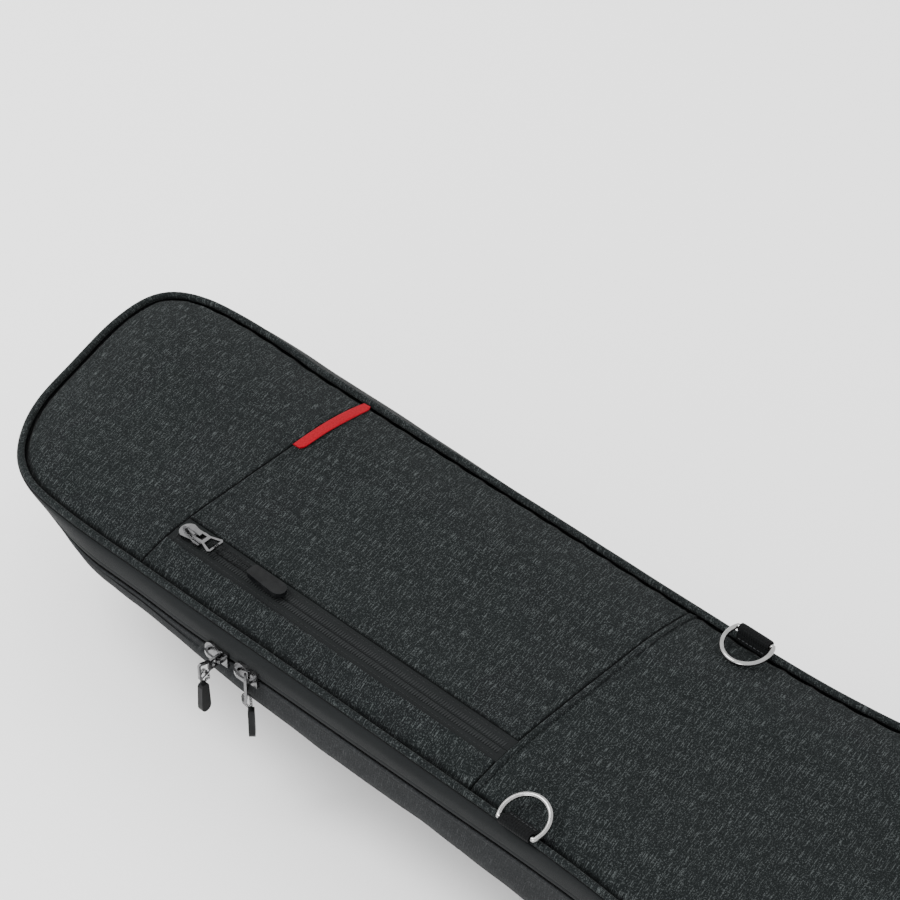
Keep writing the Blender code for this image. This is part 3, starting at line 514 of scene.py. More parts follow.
def make_materials():
    MATERIALS.update(
        heather=heather_fabric("heather", (0.0018, 0.0025, 0.0026), (0.0052, 0.0067, 0.0069),
                               (0.056, 0.063, 0.063), 0.82),
        gusset=heather_fabric("gusset_heather", (0.0064, 0.0070, 0.0074),
                              (0.0115, 0.0124, 0.0131), (0.037, 0.039, 0.0405), 0.7),
        band=plain_cloth("band_cloth", (0.0036, 0.0043, 0.0046), (0.0046, 0.0055, 0.0058), 0.6),
        back=plain_cloth("back_cloth", (0.0085, 0.0095, 0.0103), (0.012, 0.0135, 0.0143), 1.2),
        tape=plain_cloth("zip_tape", (0.0038, 0.0046, 0.0048), (0.0047, 0.0057, 0.0059), 0.8),
        webbing=ribbed_webbing(),
        cord=braided_cord(),
        plush=plush(),
        label=label_cloth(),
        rubber=moulded_rubber(),
        steel=cast_metal("satin_steel", (0.31, 0.31, 0.306), 0.16, 0.28, 0.15),
        nickel=cast_metal("dark_nickel", (0.17, 0.17, 0.173), 0.16, 0.32, 0.25),
        # Sewing thread, drawn dark: its stitches also paint the shadow that the puckered folds cast
        # along the seams.
        thread=speckled("thread", 0.4, (0.003, 0.0036, 0.0038), (0.010, 0.0115, 0.012), 0.7),
        pale_thread=speckled("pale_thread", 0.4, (0.018, 0.02, 0.021), (0.04, 0.043, 0.045), 0.7),
        teeth=speckled("zip_teeth", 3.0, (0.0062, 0.0074, 0.0077), (0.0085, 0.0098, 0.0102), 0.7),
    )


# Meshes

def new_piece(name, verts, faces, finish, body, uvs=None, sharp=50, nodes=()):
    """A mesh object with its finish, riding on body if it has one, that stands for CAD nodes."""
    mesh = bpy.data.meshes.new(name)
    mesh.from_pydata([tuple(v) for v in verts], [], [tuple(int(k) for k in f) for f in faces])
    if uvs is not None:
        layer = mesh.uv_layers.new(name="UVMap")
        index = np.empty(len(mesh.loops), int)
        mesh.loops.foreach_get("vertex_index", index)
        layer.data.foreach_set("uv", np.asarray(uvs, float)[index].ravel())
    mesh.validate()
    mesh.shade_smooth()
    mesh.set_sharp_from_angle(angle=math.radians(sharp))
    mesh.materials.append(MATERIALS[finish])
    piece = bpy.data.objects.new(name, mesh)
    bpy.context.scene.collection.objects.link(piece)
    if body:
        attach(piece, body)
    if nodes:
        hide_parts(*nodes)
    return piece


def tube_faces(rings, sides, closed=False):
    """Quads between rings of points, with end caps unless the rings close on themselves."""
    faces = [[i * sides + k, i * sides + (k + 1) % sides,
              (i + 1) % rings * sides + (k + 1) % sides, (i + 1) % rings * sides + k]
             for i in range(rings if closed else rings - 1) for k in range(sides)]
    if not closed:
        faces += [list(range(sides))[::-1], [(rings - 1) * sides + k for k in range(sides)]]
    return faces


def frame_points(stations, sides, heights):
    """place() for arrays."""
    return np.stack([(stations - ORIGIN_STATION) * MM, sides * MM,
                     (heights + FRONT_HEIGHT) * MM], -1)


def wall_ring(name, profile, finish, body, nodes, keep=None, slumps=True):
    """A closed section carried round the seam. profile(s, y) gives its (out, height) points."""
    count = len(SEAM.points)
    picked = np.arange(count)
    if keep is not None:
        flags = keep(SEAM.points[:, 0], SEAM.points[:, 1])
        start = next(i for i in range(count) if flags[i] and not flags[i - 1])
        picked = np.array([i for i in (picked + start) % count if flags[i]])
    s, y = SEAM.points[picked].T
    rows = np.stack([np.stack(np.broadcast_arrays(o, h, s)[:2], -1)
                     for o, h in profile(s, y)], 1)
    out, height = rows[..., 0], rows[..., 1]
    if slumps:
        out = out + slack(s, y)[:, None] + tuck(s, y)[:, None] * height
    at_s = s[:, None] + SEAM.normals[picked, 0][:, None] * out
    at_y = y[:, None] + SEAM.normals[picked, 1][:, None] * out
    verts = frame_points(at_s, at_y, height).reshape(-1, 3)
    n, k = out.shape
    steps = np.hypot(np.diff(out, axis=1), np.diff(height, axis=1))
    v = np.hstack([np.zeros((n, 1)), np.cumsum(steps, 1)]) * MM
    u = np.repeat(np.arange(n)[:, None], k, 1) * SEAM.length / count * MM
    uvs = np.stack([u, v], -1).reshape(-1, 2)
    i, j = np.meshgrid(np.arange(n if keep is None else n - 1), np.arange(k), indexing="ij")
    a, b = i * k + j, i * k + (j + 1) % k
    c, d = ((i + 1) % n) * k + (j + 1) % k, ((i + 1) % n) * k + j
    faces = np.stack([a, d, c, b], -1).reshape(-1, 4).tolist()
    if keep is not None:
        faces.append(list(range(k)))
        faces.append(list(range((n - 1) * k, n * k))[::-1])
    return new_piece(name, verts, faces, finish, body, uvs, nodes=nodes)


def grid_piece(name, stations, low, high, columns, top, bottom, finish, body, nodes,
               dark=None):
    """A closed sheet over stations between two edges; top, bottom and dark work on arrays."""
    s = np.repeat(np.asarray(stations, float)[:, None], len(columns), 1)
    lows, highs = low(s[:, 0])[:, None], high(s[:, 0])[:, None]
    y = lows + (highs - lows) * np.asarray(columns)[None, :]
    upper = frame_points(s, y, top(s, y)).reshape(-1, 3)
    under = frame_points(s, y, bottom(s, y)).reshape(-1, 3)
    n, m = s.shape
    i, j = np.meshgrid(np.arange(n - 1), np.arange(m - 1), indexing="ij")
    quads = np.stack([i * m + j, (i + 1) * m + j, (i + 1) * m + j + 1, i * m + j + 1],
                     -1).reshape(-1, 4)
    faces = quads.tolist() + (quads[:, ::-1] + n * m).tolist()
    rim = ([j for j in range(m)] + [i * m + m - 1 for i in range(1, n)]
           + [(n - 1) * m + j for j in range(m - 2, -1, -1)] + [i * m for i in range(n - 2, 0, -1)])
    for p, q in zip(rim, rim[1:] + rim[:1]):
        faces.append([p, q, q + n * m, p + n * m])
    flat = np.stack([s * MM, y * MM], -1).reshape(-1, 2)
    piece = new_piece(name, np.vstack([upper, under]), faces, finish, body,
                      np.vstack([flat, flat]), nodes=nodes)
    # dark is painted shade, kept in the shade attribute.
    if dark is not None:
        layer = piece.data.attributes.new("shade", "FLOAT", "POINT")
        layer.data.foreach_set("value", np.tile(dark(s, y).ravel(), 2))
    return piece


def marks_between(start, end, step, round_start=False, round_end=False):
    """Stations at most step apart, closer where a seam or the rounded outline ends them."""
    inner = np.arange(start + 8, end - 7.9, step)
    ends = [0.0, 0.4, 0.9, 1.6, 2.6, 3.8, 5.0, 5.6, 6.2, 7.0]
    tip = [0.25, 0.6, 1.2, 2.2, 3.6, 5.4, 7.2]
    first = [start + t for t in (tip if round_start else ends)]
    last = [end - t for t in (tip if round_end else ends)]
    return np.array(sorted(first + list(inner) + last))


def ribbon(name, line, wide, width, thickness, finish, body, nodes, sides=20, squareness=5.0):
    """A flat band with rounded edges along points in metres. wide is its width's direction."""
    pts = [Vector(p) for p in line]
    wide = Vector(wide).normalized()
    verts, uvs, run = [], [], 0.0
    for i, p in enumerate(pts):
        way = (pts[min(i + 1, len(pts) - 1)] - pts[max(i - 1, 0)]).normalized()
        normal = way.cross(wide).normalized()
        run += (p - pts[i - 1]).length if i else 0.0
        for k in range(sides):
            t = 2 * math.pi * k / sides
            a = math.copysign(abs(math.cos(t)) ** (2 / squareness), math.cos(t))
            b = math.copysign(abs(math.sin(t)) ** (2 / squareness), math.sin(t))
            verts.append(p + wide * (a * width / 2 * MM) + normal * (b * thickness / 2 * MM))
            uvs.append((run, a * width / 2 * MM))
    return new_piece(name, verts, tube_faces(len(pts), sides), finish, body, uvs,
                     nodes=nodes)


def closed_rod(name, pts, radius, finish, body, nodes, sides):
    """A round rod through points in metres, joined end to end."""
    count = len(pts)
    verts, uvs, normal = [], [], None
    for i, p in enumerate(pts):
        way = (pts[(i + 1) % count] - pts[i - 1]).normalized()
        normal = way.orthogonal() if normal is None else normal
        normal = (normal - way * normal.dot(way)).normalized()
        other = way.cross(normal)
        for k in range(sides):
            t = 2 * math.pi * k / sides
            verts.append(p + (normal * math.cos(t) + other * math.sin(t)) * radius * MM)
            uvs.append((i * MM, radius * MM * t))
    return new_piece(name, verts, tube_faces(count, sides, True), finish, body, uvs,
                     nodes=nodes)


class Beads:
    """Many small spindles or bars in one mesh: stitches and zip teeth."""

    def __init__(self):
        self.verts, self.faces = [], []

    def add(self, centre, along, up, length, width, height, waist=0.45):
        across = along.cross(up).normalized()
        start = len(self.verts)
        for t, r in ((-0.5, waist), (-0.28, 1.0), (0.28, 1.0), (0.5, waist)):
            for a, b in ((1, 0), (0, 1), (-1, 0), (0, -1)):
                self.verts.append(centre + (along * (t * length) + across * (a * r * width / 2)
                                            + up * (b * r * height / 2)) * MM)
        for ring in range(3):
            for k in range(4):
                n = (k + 1) % 4
                p, q = start + ring * 4, start + (ring + 1) * 4
                self.faces.append([p + k, q + k, q + n, p + n])
        self.faces += [[start + k for k in range(4)], [start + 12 + k for k in (3, 2, 1, 0)]]

    def row(self, points, ups, pitch, length, width, height, across=False):
        """A row along a line of points in metres, ups being its normals."""
        pts = np.array([tuple(p) for p in points])
        run = np.concatenate([[0], np.cumsum(np.linalg.norm(np.diff(pts, axis=0), axis=1))])
        ups = np.array([tuple(p) for p in ups])
        for mark in np.arange(pitch / 2 * MM, run[-1], pitch * MM):
            i = min(int(np.searchsorted(run, mark)) - 1, len(pts) - 2)
            t = (mark - run[i]) / (run[i + 1] - run[i])
            way = Vector(pts[i + 1] - pts[i]).normalized()
            up = Vector(ups[i]).normalized()
            if across:
                way = way.cross(up).normalized()
            self.add(Vector(pts[i] * (1 - t) + pts[i + 1] * t), way, up, length, width, height)

    def make(self, name, finish, slot, body):
        return new_piece(name, self.verts, self.faces, finish, body, sharp=80)


# The lid

def front_row(beads, points, lift, sizes, across=False):
    """A row of beads over the padded front, lifted, through (station, side) pairs."""
    stations, sides = np.array(points, float).T
    line = frame_points(stations, sides, crown(SEAM.clearance(stations, sides)) + lift)
    beads.row(line, [(0, 0, 1)] * len(line), *sizes, across=across)


def hem(distance, edge, raised, width):
    """Relief of a folded edge: it drops at distance 0, stands proud, and ends in a groove."""
    roll = np.exp(-(distance / edge) ** 2)
    proud = raised * eased(distance / edge) * (1 - eased((distance - width + 0.8) / 0.8))
    groove = -0.35 * np.exp(-((distance - width) / 0.7) ** 2)
    return -1.1 * roll + proud + groove


def front_height(start=None, end=None, strip=None, start_hem=0.35, end_hem=0.0):
    """Height of a front panel with its rolled edges, as a function of station and side."""
    def height(s, y):
        inside = SEAM.clearance(s, y)
        z = crown(inside) - 3.2 * np.exp(-(inside / 2.8) ** 3)
        z = z + 0.45 * wobble(s, y, 0, 95, 3) * np.clip(inside / 20, 0, 1)
        z = z + 0.16 * wobble(s, y, 0, 26, 4) * np.clip(inside / 8, 0, 1)
        pucker = np.exp(-((inside - 6) / 5) ** 2)
        z = z + 0.16 * pucker * np.sin(2 * math.pi * (s - 0.4 * y) / 11 + wobble(s, y, 0, 60, 5))
        if start is not None:
            z = z + hem(s - start, 0.9, start_hem, HEM_WIDTH)
        if end is not None:
            z = z + hem(end - s, 0.9, end_hem, HEM_WIDTH)
        if strip is not None:
            z = z + hem(abs(y - strip), 0.7, 0.25, 2.8)
        return z
    return height


def seam_shade(*lines):
    """Painted shade, drawn darker in the groove by the piping and along the sewn lines."""
    def shade(s, y):
        dark = np.exp(-(SEAM.clearance(s, y) / 3.1) ** 6)
        for axis, where, reach in lines:
            dark = np.maximum(dark, np.exp(-(abs((s, y)[axis] - where) / reach) ** 4))
        return 0.9 * dark
    return shade


def columns_for(count):
    """Fractions across a panel, closer together at its edges."""
    fine = [0.0, 0.004, 0.009, 0.013, 0.017, 0.022, 0.028, 0.04]
    middle = list(np.linspace(0.055, 0.945, count))
    return np.array(fine + middle + [1 - t for t in fine][::-1])


def level(value):
    """An edge at the same side all along."""
    return lambda s: np.full(np.shape(s), value)


def make_front_panels():
    """The four heather panels of the front, with their hems and seams."""
    low, high, first, last = edge_lookup(SEAM.offset(-0.35))
    strip_low, strip_high = STRIP_SIDES[0] - GAP, STRIP_SIDES[1] + GAP
    step, skin = 5.0, 1.3

    def panel(name, stations, lower, upper, count, height, lines, *nodes):
        # seam_shade paints shade in the piping's groove and along these lines.
        piece = grid_piece(name, stations, lower, upper, columns_for(count), height,
                           lambda s, y: height(s, y) - skin, "heather", "lid",
                           nodes, seam_shade(*lines))

    head = marks_between(first, HEAD_SEAM - GAP / 2, step, round_start=True)
    panel("head_front", head, low, high, 40, front_height(end=HEAD_SEAM),
          [(0, HEAD_SEAM, 0.8)], "head_panel")
    neck = marks_between(HEAD_SEAM + GAP / 2, POCKET_SEAM - GAP / 2, step)
    panel("neck_front", neck, level(strip_high), high, 34,
          front_height(HEAD_SEAM, POCKET_SEAM, STRIP_SIDES[1]),
          [(0, HEAD_SEAM, 0.8), (0, POCKET_SEAM, 0.9), (1, STRIP_SIDES[1], 1.0)],
          "neck_panel", "pocket_lining")
    panel("neck_front_edge", neck, low, level(strip_low), 8,
          front_height(HEAD_SEAM, POCKET_SEAM, STRIP_SIDES[0]),
          [(0, HEAD_SEAM, 0.8), (0, POCKET_SEAM, 0.9), (1, STRIP_SIDES[0], 1.0)],
          "neck_panel_edge")
    rim = BODY_ZIP_HALF + GAP
    front = marks_between(POCKET_SEAM + GAP / 2, BODY_ZIP - rim, step)
    panel("body_front", front, low, high, 44,
          front_height(POCKET_SEAM, BODY_ZIP - rim, start_hem=0.9, end_hem=0.4),
          [(0, POCKET_SEAM, 0.9), (0, POCKET_SEAM + 5.4, 0.25)], "body_panel_front")
    rear = marks_between(BODY_ZIP + rim, last, 6.0, round_end=True)
    panel("body_rear", rear, low, high, 56,
          front_height(start=BODY_ZIP + rim), [], "body_panel_rear", "lid_foam")


def make_pocket_zips():
    """The zip tapes, their coils and the stitches beside them."""
    middle = sum(STRIP_SIDES) / 2
    teeth, stitches = Beads(), Beads()
    neck = marks_between(HEAD_SEAM + GAP / 2, POCKET_SEAM - GAP / 2, 6.0)
    for part, edge in (("inner", STRIP_SIDES[1]), ("outer", STRIP_SIDES[0])):
        way = math.copysign(1, edge - middle)
        sides = sorted((edge + way * 0.2, middle + way * GAP / 2))

        def top(s, y):
            apart = abs(y - middle)
            ridge = 0.35 * np.exp(-((apart - 1.9) / 1.2) ** 2)
            return crown(SEAM.clearance(s, y)) - 0.85 + ridge + 0.08 * wobble(s, y, 0, 40, 9)

        grid_piece(f"pocket_tape_{part}", neck, level(sides[0]), level(sides[1]),
                   np.linspace(0, 1, 15), top, lambda s, y: top(s, y) - TAPE, "tape",
                   "lid", [f"pocket_zip_{part}"])
        front_row(teeth, [(s, middle + way * 2.5) for s in np.arange(153, 410, 4)], -0.52,
                  COIL_TOOTH, across=True)
        along = np.arange(152, 411, 4)
        front_row(stitches, [(s, edge + way * 2.0) for s in along], 0.32, STITCH)
        front_row(stitches, [(s, edge - way * 2.2) for s in along], -0.72, TAPE_STITCH)
    closer = 0.5 - 0.5 * np.cos(np.pi * np.arange(61) / 60)
    for part, way in (("front", -1), ("rear", 1)):
        edge = BODY_ZIP + way * BODY_ZIP_HALF
        marks = np.array(sorted((edge + way * 0.2, BODY_ZIP + way * GAP / 2)))
        low, high = edge_lookup(SEAM.offset(-0.5))[:2]

        def top(s, y):
            return crown(SEAM.clearance(s, y)) - 0.85

        grid_piece(f"body_tape_{part}", np.linspace(marks[0], marks[1], 9), low, high, closer,
                   top, lambda s, y: top(s, y) - TAPE, "tape", "lid",
                   [f"body_zip_{part}"])
        reach = float(half_width(BODY_ZIP)) - 4
        spots = np.linspace(-reach, reach, 80)
        front_row(teeth, [(BODY_ZIP + way * 2.5, y) for y in spots], -0.76, COIL_TOOTH,
                  across=True)
        front_row(stitches, [(edge + way * 2.2, y) for y in spots], 0.32, STITCH)
    for seam, lift in ((POCKET_SEAM, 0.5), (HEAD_SEAM, 0.25)):
        reach = float(half_width(seam)) - 3
        spots = [y for y in np.linspace(-reach, reach, 60)
                 if not STRIP_SIDES[0] - 1 < y < STRIP_SIDES[1] + 1 or seam == POCKET_SEAM]
        front_row(stitches, [(seam + 4.6, y) for y in spots], lift, SEAM_STITCH)
    teeth.make("pocket_teeth", "teeth", "zip_tape", "lid")
    # These dark stitches also paint the shadow of the folds at the tapes' and seams' edges.
    stitches.make("front_stitches", "thread", "heather_fabric", "lid")


def make_piping():
    """The piping, a little uneven as sewn cord is."""
    angles = np.linspace(0, 2 * math.pi, 13)[:-1]
    wall_ring("piping", lambda s, y: [(
        PIPING_RADIUS * (1 + math.cos(a)) + 0.08 * wobble(s, y, 0, 30, 6),
        PIPING_RADIUS * math.sin(a) + 0.1 * wobble(s, y, 0, 38, 7)) for a in angles],
        "heather", "lid", ["front_piping"], slumps=False)


def make_band():
    """The lid's side band, tucked under the piping, with a folded and stitched lower edge."""
    outer = [(3.9, -1.85), (4.7, -1.15), (5.4, -1.25), (6.0, -2.1), (6.35, -3.6), (6.5, -5.5),
             (6.6, -8), (6.5, -11), (6.4, -12.6), (6.25, -13.1), (6.4, -13.6), (6.5, -14.8),
             (6.4, -15.7), (5.9, -16.1)]
    inner = [(4.9, -16.1), (4.6, -13), (4.5, -8), (4.2, -3.6)]

    def profile(s, y):
        soft = 0.28 * wobble(s, y, 0, 70, 11) + 0.12 * wobble(s, y, 0, 24, 12)
        found = []
        for o, h in outer + inner:
            held = 1 - eased((-1.2 - h) / 5)
            swell = math.exp(-((h + 8) / 5) ** 2) if (o, h) in outer else 0.0
            found.append((o + soft * swell - held * slack(s, y), h + 0 * s))
        return found

    piece = wall_ring("side_band", profile, "band", "lid", ["lid_band"])


def wall_spot(out, height, index):
    """A point on the walls at a sample of the seam, in metres, and its outward normal."""
    s, y = SEAM.points[index]
    normal = SEAM.normals[index]
    shift = out + float(slack(s, y)) + float(tuck(s, y)) * height
    return place(s + normal[0] * shift, y + normal[1] * shift, height), Vector((*normal, 0))


def by_hinge(station, side, margin=0.0):
    """Whether points of the seam are on the uncut stretch, or within margin of it."""
    return ((side > 0) & (station > HINGE_STATIONS[0] - margin)
            & (station < HINGE_STATIONS[1] + margin))


def wall_row(beads, out, height, sizes, keep=None, across=False):
    """A row of beads round the walls."""
    count = len(SEAM.points)
    spots = [wall_spot(out, height, i % count) for i in range(count + 1)
             if keep is None or keep(*SEAM.points[i % count])]
    beads.row([p for p, _ in spots], [n for _, n in spots], *sizes, across=across)


def constant(section):
    """A wall's profile that is the same all round."""
    return lambda s, y: [(o + 0 * s, h + 0 * s) for o, h in section]


def make_main_zip():
    """Both halves of the main zip, with their teeth, and the stitches either side."""
    for part, way in (("lid", 1), ("tray", -1)):
        meet = ZIP_HEIGHT + way * GAP / 2
        far = ZIP_HEIGHT + way * 5.0
        section = [(4.1, far), (4.0, meet + way * 2.0), (3.0, meet + way * 1.3),
                   (2.4, meet + way * 0.3), (1.9, meet + way * 0.1), (1.4, meet + way * 0.4),
                   (1.4, meet + way * 1.4), (2.4, meet + way * 1.9), (3.2, meet + way * 2.6),
                   (3.4, far)]
        wall_ring(f"main_tape_{part}", constant(section), "tape", part,
                  [f"{part}_zip"], keep=lambda s, y: ~by_hinge(s, y))
        teeth = Beads()
        wall_row(teeth, 2.7, meet + way * 0.8, MAIN_TOOTH, keep=lambda s, y: not by_hinge(s, y),
                 across=True)
        teeth.make(f"main_teeth_{part}", "teeth", "zip_tape", part)
    for name, out, height, slot, body in (("band", 6.15, -13.15, "smooth_fabric", "lid"),
                                          ("gusset", 6.05, -22.0, "heather_fabric", "tray")):
        stitches = Beads()
        wall_row(stitches, out, height, WALL_STITCH)
        stitches.make(f"{name}_stitches", "thread", slot, body)


def layer_points(s, out, inside, out_drop, in_drop, top, steps):
    """A layer of the side wall in section: down its outer face, round the edge, and back up."""
    low = depth(s)
    radius = np.minimum(round_of(s), low - UPRIGHT)
    turn = -(low - radius)
    end = WALL - round_of(s)
    faces = []
    for face, drop in ((out, out_drop), (inside, in_drop)):
        line = [(face + 0 * s, top + (turn - top) * t) for t in (0, 0.2, 0.4, 0.6, 0.8)]
        for k in range(steps + 1):
            angle = math.pi / 2 * k / steps
            line.append((face - (face - end) * (1 - math.cos(angle)),
                         turn - (radius - drop) * math.sin(angle)))
        faces.append(line)
    return faces


def make_gusset():
    """The tray's side skin, from its stitched fold under the zip round to the back."""
    def profile(s, y):
        fold = [(4.6, -19.4), (5.2, -18.8), (6.0, -18.75), (6.45, -19.3), (6.55, -20.2),
                (6.4, -21.2), (6.1, -22.0), (6.3, -22.7)]
        outer, inner = layer_points(s, WALL, WALL - 1.2, 0, 1.2, -23.5, 9)
        z = outer[3][1]
        creases = 0.7 * wobble(s, y, 0, 85, 21) + 0.3 * wobble(s, y, 0, 30, 22)
        skin = []
        for k, (o, h) in enumerate(outer):
            t = k / (len(outer) - 1)
            swell = math.sin(math.pi * t) ** 0.8
            pull = 0.5 * np.sin((s + 0.8 * y) / 13 + wobble(s, y, 0, 50, 23)) * math.exp(-6 * t)
            skin.append((o + 0.25 + swell * (0.7 + creases) + 0.35 * pull, h))
        skin[-1] = (outer[-1][0], outer[-1][1])
        return ([(o + 0 * s, h + 0 * z) for o, h in fold] + skin + inner[::-1])

    piece = wall_ring("gusset", profile, "gusset", "tray", ["tray_gusset"])


def make_hinge_fabric():
    """The uncut stretch of the side, where the lid is hinged."""
    section = [(6.15, -15.2), (6.5, -16.2), (6.6, -17.0), (6.5, -17.8), (6.15, -18.8),
               (5.2, -18.6), (5.4, -17.0), (5.2, -15.4)]
    piece = wall_ring("hinge_fabric", constant(section), "band", None,
                      ["hinge_tape"], keep=lambda s, y: by_hinge(s, y, 2))
    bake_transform(piece)


def quilt(s, y):
    """Relief of diamond quilting: padded between two sets of sewn diagonals."""
    a = np.sin(math.pi * (s + y) / QUILT_PITCH)
    b = np.sin(math.pi * (s - y) / QUILT_PITCH)
    return -QUILT_DEPTH * (np.exp(-(a / 0.16) ** 2) + np.exp(-(b / 0.16) ** 2))


def make_linings():
    """Padded linings of the lid and of the tray."""
    low, high, first, last = edge_lookup(
        SEAM.offset(-2.0 - 14 * tuck(SEAM.points[:, 0], SEAM.points[:, 1])))
    marks = marks_between(first, last, 8.0, True, True)

    def face(s, y):
        inside = SEAM.clearance(s, y)
        soft = 2.4 * np.exp(-((inside - 2) / 3.5) ** 2)
        return crown(inside) - 11.6 + soft - quilt(s, y) * np.clip(inside / 12 - 1, 0, 1)

    piece = grid_piece("lid_padding", marks, low, high, columns_for(48),
                       lambda s, y: crown(SEAM.clearance(s, y)) - 4.8, face, "plush",
                       "lid", ["lid_lining", "lid_rim_foam"])

    def profile(s, y):
        outer, inner = layer_points(s, 1.0, -8.8, 2.1, 12.0, -20.5, 7)
        top = [(-8.2, -19.2), (-6.5, -18.2), (-4, -17.9), (-1.3, -18.2), (0.4, -19.2)]
        soft = 0.35 * wobble(s, y, 0, 60, 31)
        inner = [(o + soft * math.sin(math.pi * k / (len(inner) - 1)), h)
                 for k, (o, h) in enumerate(inner)]
        return outer + inner[::-1] + [(o + 0 * s, h + 0 * s) for o, h in top]

    piece = wall_ring("side_padding", profile, "plush", "tray",
                      ["side_lining", "side_foam"])
    s, y = SEAM.points.T
    low, high, first, last = edge_lookup(
        SEAM.offset(WALL - round_of(s) + slack(s, y) - tuck(s, y) * depth(s) + 0.2))
    marks = marks_between(first, last, 8.0, True, True)
    columns = np.linspace(0, 1, 41)
    piece = grid_piece("back_padding", marks, low, high, columns,
                       lambda s, y: 11.6 - depth(s) + quilt(s, y),
                       lambda s, y: 2.2 - depth(s), "plush", "tray",
                       ["back_lining", "back_foam"])
    grid_piece("back_skin", marks, low, high, columns, lambda s, y: 1.2 - depth(s),
               lambda s, y: 0.15 * wobble(s, y, 0, 60, 33) + 0.15 - depth(s), "back",
               "tray", ["back_panel"])


def make_label():
    """A plain woven tab, sewn into the head seam, its free edge folded and a little raised."""
    spots = np.linspace(32.0, 93.0, 40)
    rows = [(0.4, 0.35), (0.7, 0.95), (1.6, 1.25), (3.6, 1.35), (5.6, 1.55), (7.4, 1.7), (8.3, 1.5),
            (8.5, 1.1), (8.2, 0.75), (6.0, 0.7), (3.0, 0.45)]
    verts, uvs = [], []
    for k, y in enumerate(spots):
        end = min(k, len(spots) - 1 - k)
        shorter = 2.2 * math.exp(-end / 1.3)
        base = front_at(HEAD_SEAM + 2, y)
        for r, (along, up) in enumerate(rows):
            reach = min(along, 8.5 - shorter) if along > 4 else along
            rise = up + 0.25 * math.sin(k / 5.5) * along / 8
            verts.append(place(HEAD_SEAM + reach, y, base + rise))
            uvs.append((y * MM, along * MM * (1 if r < 7 else 2)))
    new_piece("label", verts, tube_faces(len(spots), len(rows)), "label", "lid", uvs,
              nodes=["label_tab"])


# Hardware

def ring_line(bar, lean, way):
    """A D-ring's centre line: most of a circle, closed by its straight bar."""
    spread = math.acos(RING_CHORD / RING_RADIUS)
    reach = Vector((0, way * math.cos(lean), math.sin(lean)))
    points = []
    for k in range(65):
        angle = spread + (2 * math.pi - 2 * spread) * k / 64
        out = RING_CHORD - RING_RADIUS * math.cos(angle)
        points.append(bar + (Vector((RING_RADIUS * math.sin(angle), 0, 0)) + reach * out) * MM)
    half = points[0].x - bar.x
    points.extend(bar + Vector((half * f, 0, 0)) for f in (-0.9, -0.6, -0.3, 0, 0.3, 0.6, 0.9))
    return points


def make_ring(name, station, side, height, lean, way, root):
    """A D-ring and the webbing tab that holds it to the lid's seam."""
    bar = place(station, side, height)
    closed_rod(f"{name}_wire", ring_line(bar, math.radians(lean), way), RING_WIRE, "steel", name,
               [name], 20)
    inner = RING_WIRE + GAP + WEBBING / 2
    foot, middle = Vector(root), Vector((side, height))
    down = (foot - middle).normalized()
    facing = math.degrees(math.atan2(down.y, down.x))
    across = Vector((-down.y, down.x)) * (WEBBING / 2 + 0.12)
    turns = [math.radians(facing + 32 + 296 * k / 28) for k in range(29)]
    loop = [middle + Vector((math.cos(a), math.sin(a))) * inner for a in turns]
    path = [foot + across] + loop + [foot - across]
    line = [place(station, p.x, p.y) for p in path]
    ribbon(f"{name}_webbing", line, (1, 0, 0), TAB_WIDTH, WEBBING - 0.1, "webbing", "lid",
           [f"{name}_tab"], sides=28)
    stitches = Beads()
    rise = Vector((down.y, -down.x)) * (WEBBING + 0.32)
    rise = rise if rise.y > 0 else -rise
    for share in (0.25, 0.6):
        spot = foot.lerp(middle, share) + rise
        line = [place(station + x, spot.x, spot.y) for x in (-10, 0, 10)]
        stitches.row(line, [(0, rise.x, rise.y)] * 3, *TAB_STITCH)
    stitches.make(f"{name}_stitches", "pale_thread", "webbing", "lid")


def softened(node, width, segments, finish, levels=0):
    """Gives a CAD node that shows a detailed finish, and rounded edges or a smoother shape."""
    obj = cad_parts[node]
    if width:
        bevel = obj.modifiers.new("edges", "BEVEL")
        bevel.width = width * MM
        bevel.segments = segments
        bevel.limit_method = "ANGLE"
        bevel.angle_limit = math.radians(28)
    if levels:
        smooth = obj.modifiers.new("round", "SUBSURF")
        smooth.levels = levels
        smooth.render_levels = levels
    for slot in obj.material_slots:
        slot.material = MATERIALS[finish]


def make_pulls():
    """Finishes for the sliders, links, grips, cords and buckles, whose CAD solids show."""
    for zip_name in ("pocket", "body_pocket", "main_a", "main_b"):
        softened(f"{zip_name}_slider", 0.45, 3, "nickel")
        softened(f"{zip_name}_link", 0.35, 3, "nickel")
        softened(f"{zip_name}_grip", 1.1, 4, "rubber")
        softened(f"{zip_name}_cord", 0, 0, "cord", 2)
    for side in ("left", "right"):
        softened(f"strap_buckle_{side}", 0.8, 3, "rubber")


def make_handle(name, line, wide, grip_start, grip_end):
    """A webbing handle along a line, and the moulded grip round the middle of it."""
    ribbon(f"{name}_webbing", line, wide, *HANDLE_WEBBING, "webbing", "tray", [name])
    grip = [p for p in line if grip_start < p.x / MM + ORIGIN_STATION < grip_end]
    ribbon(f"{name}_cushion", grip, wide, *HANDLE_GRIP, "rubber", "tray", [f"{name}_grip"], 28, 2.8)


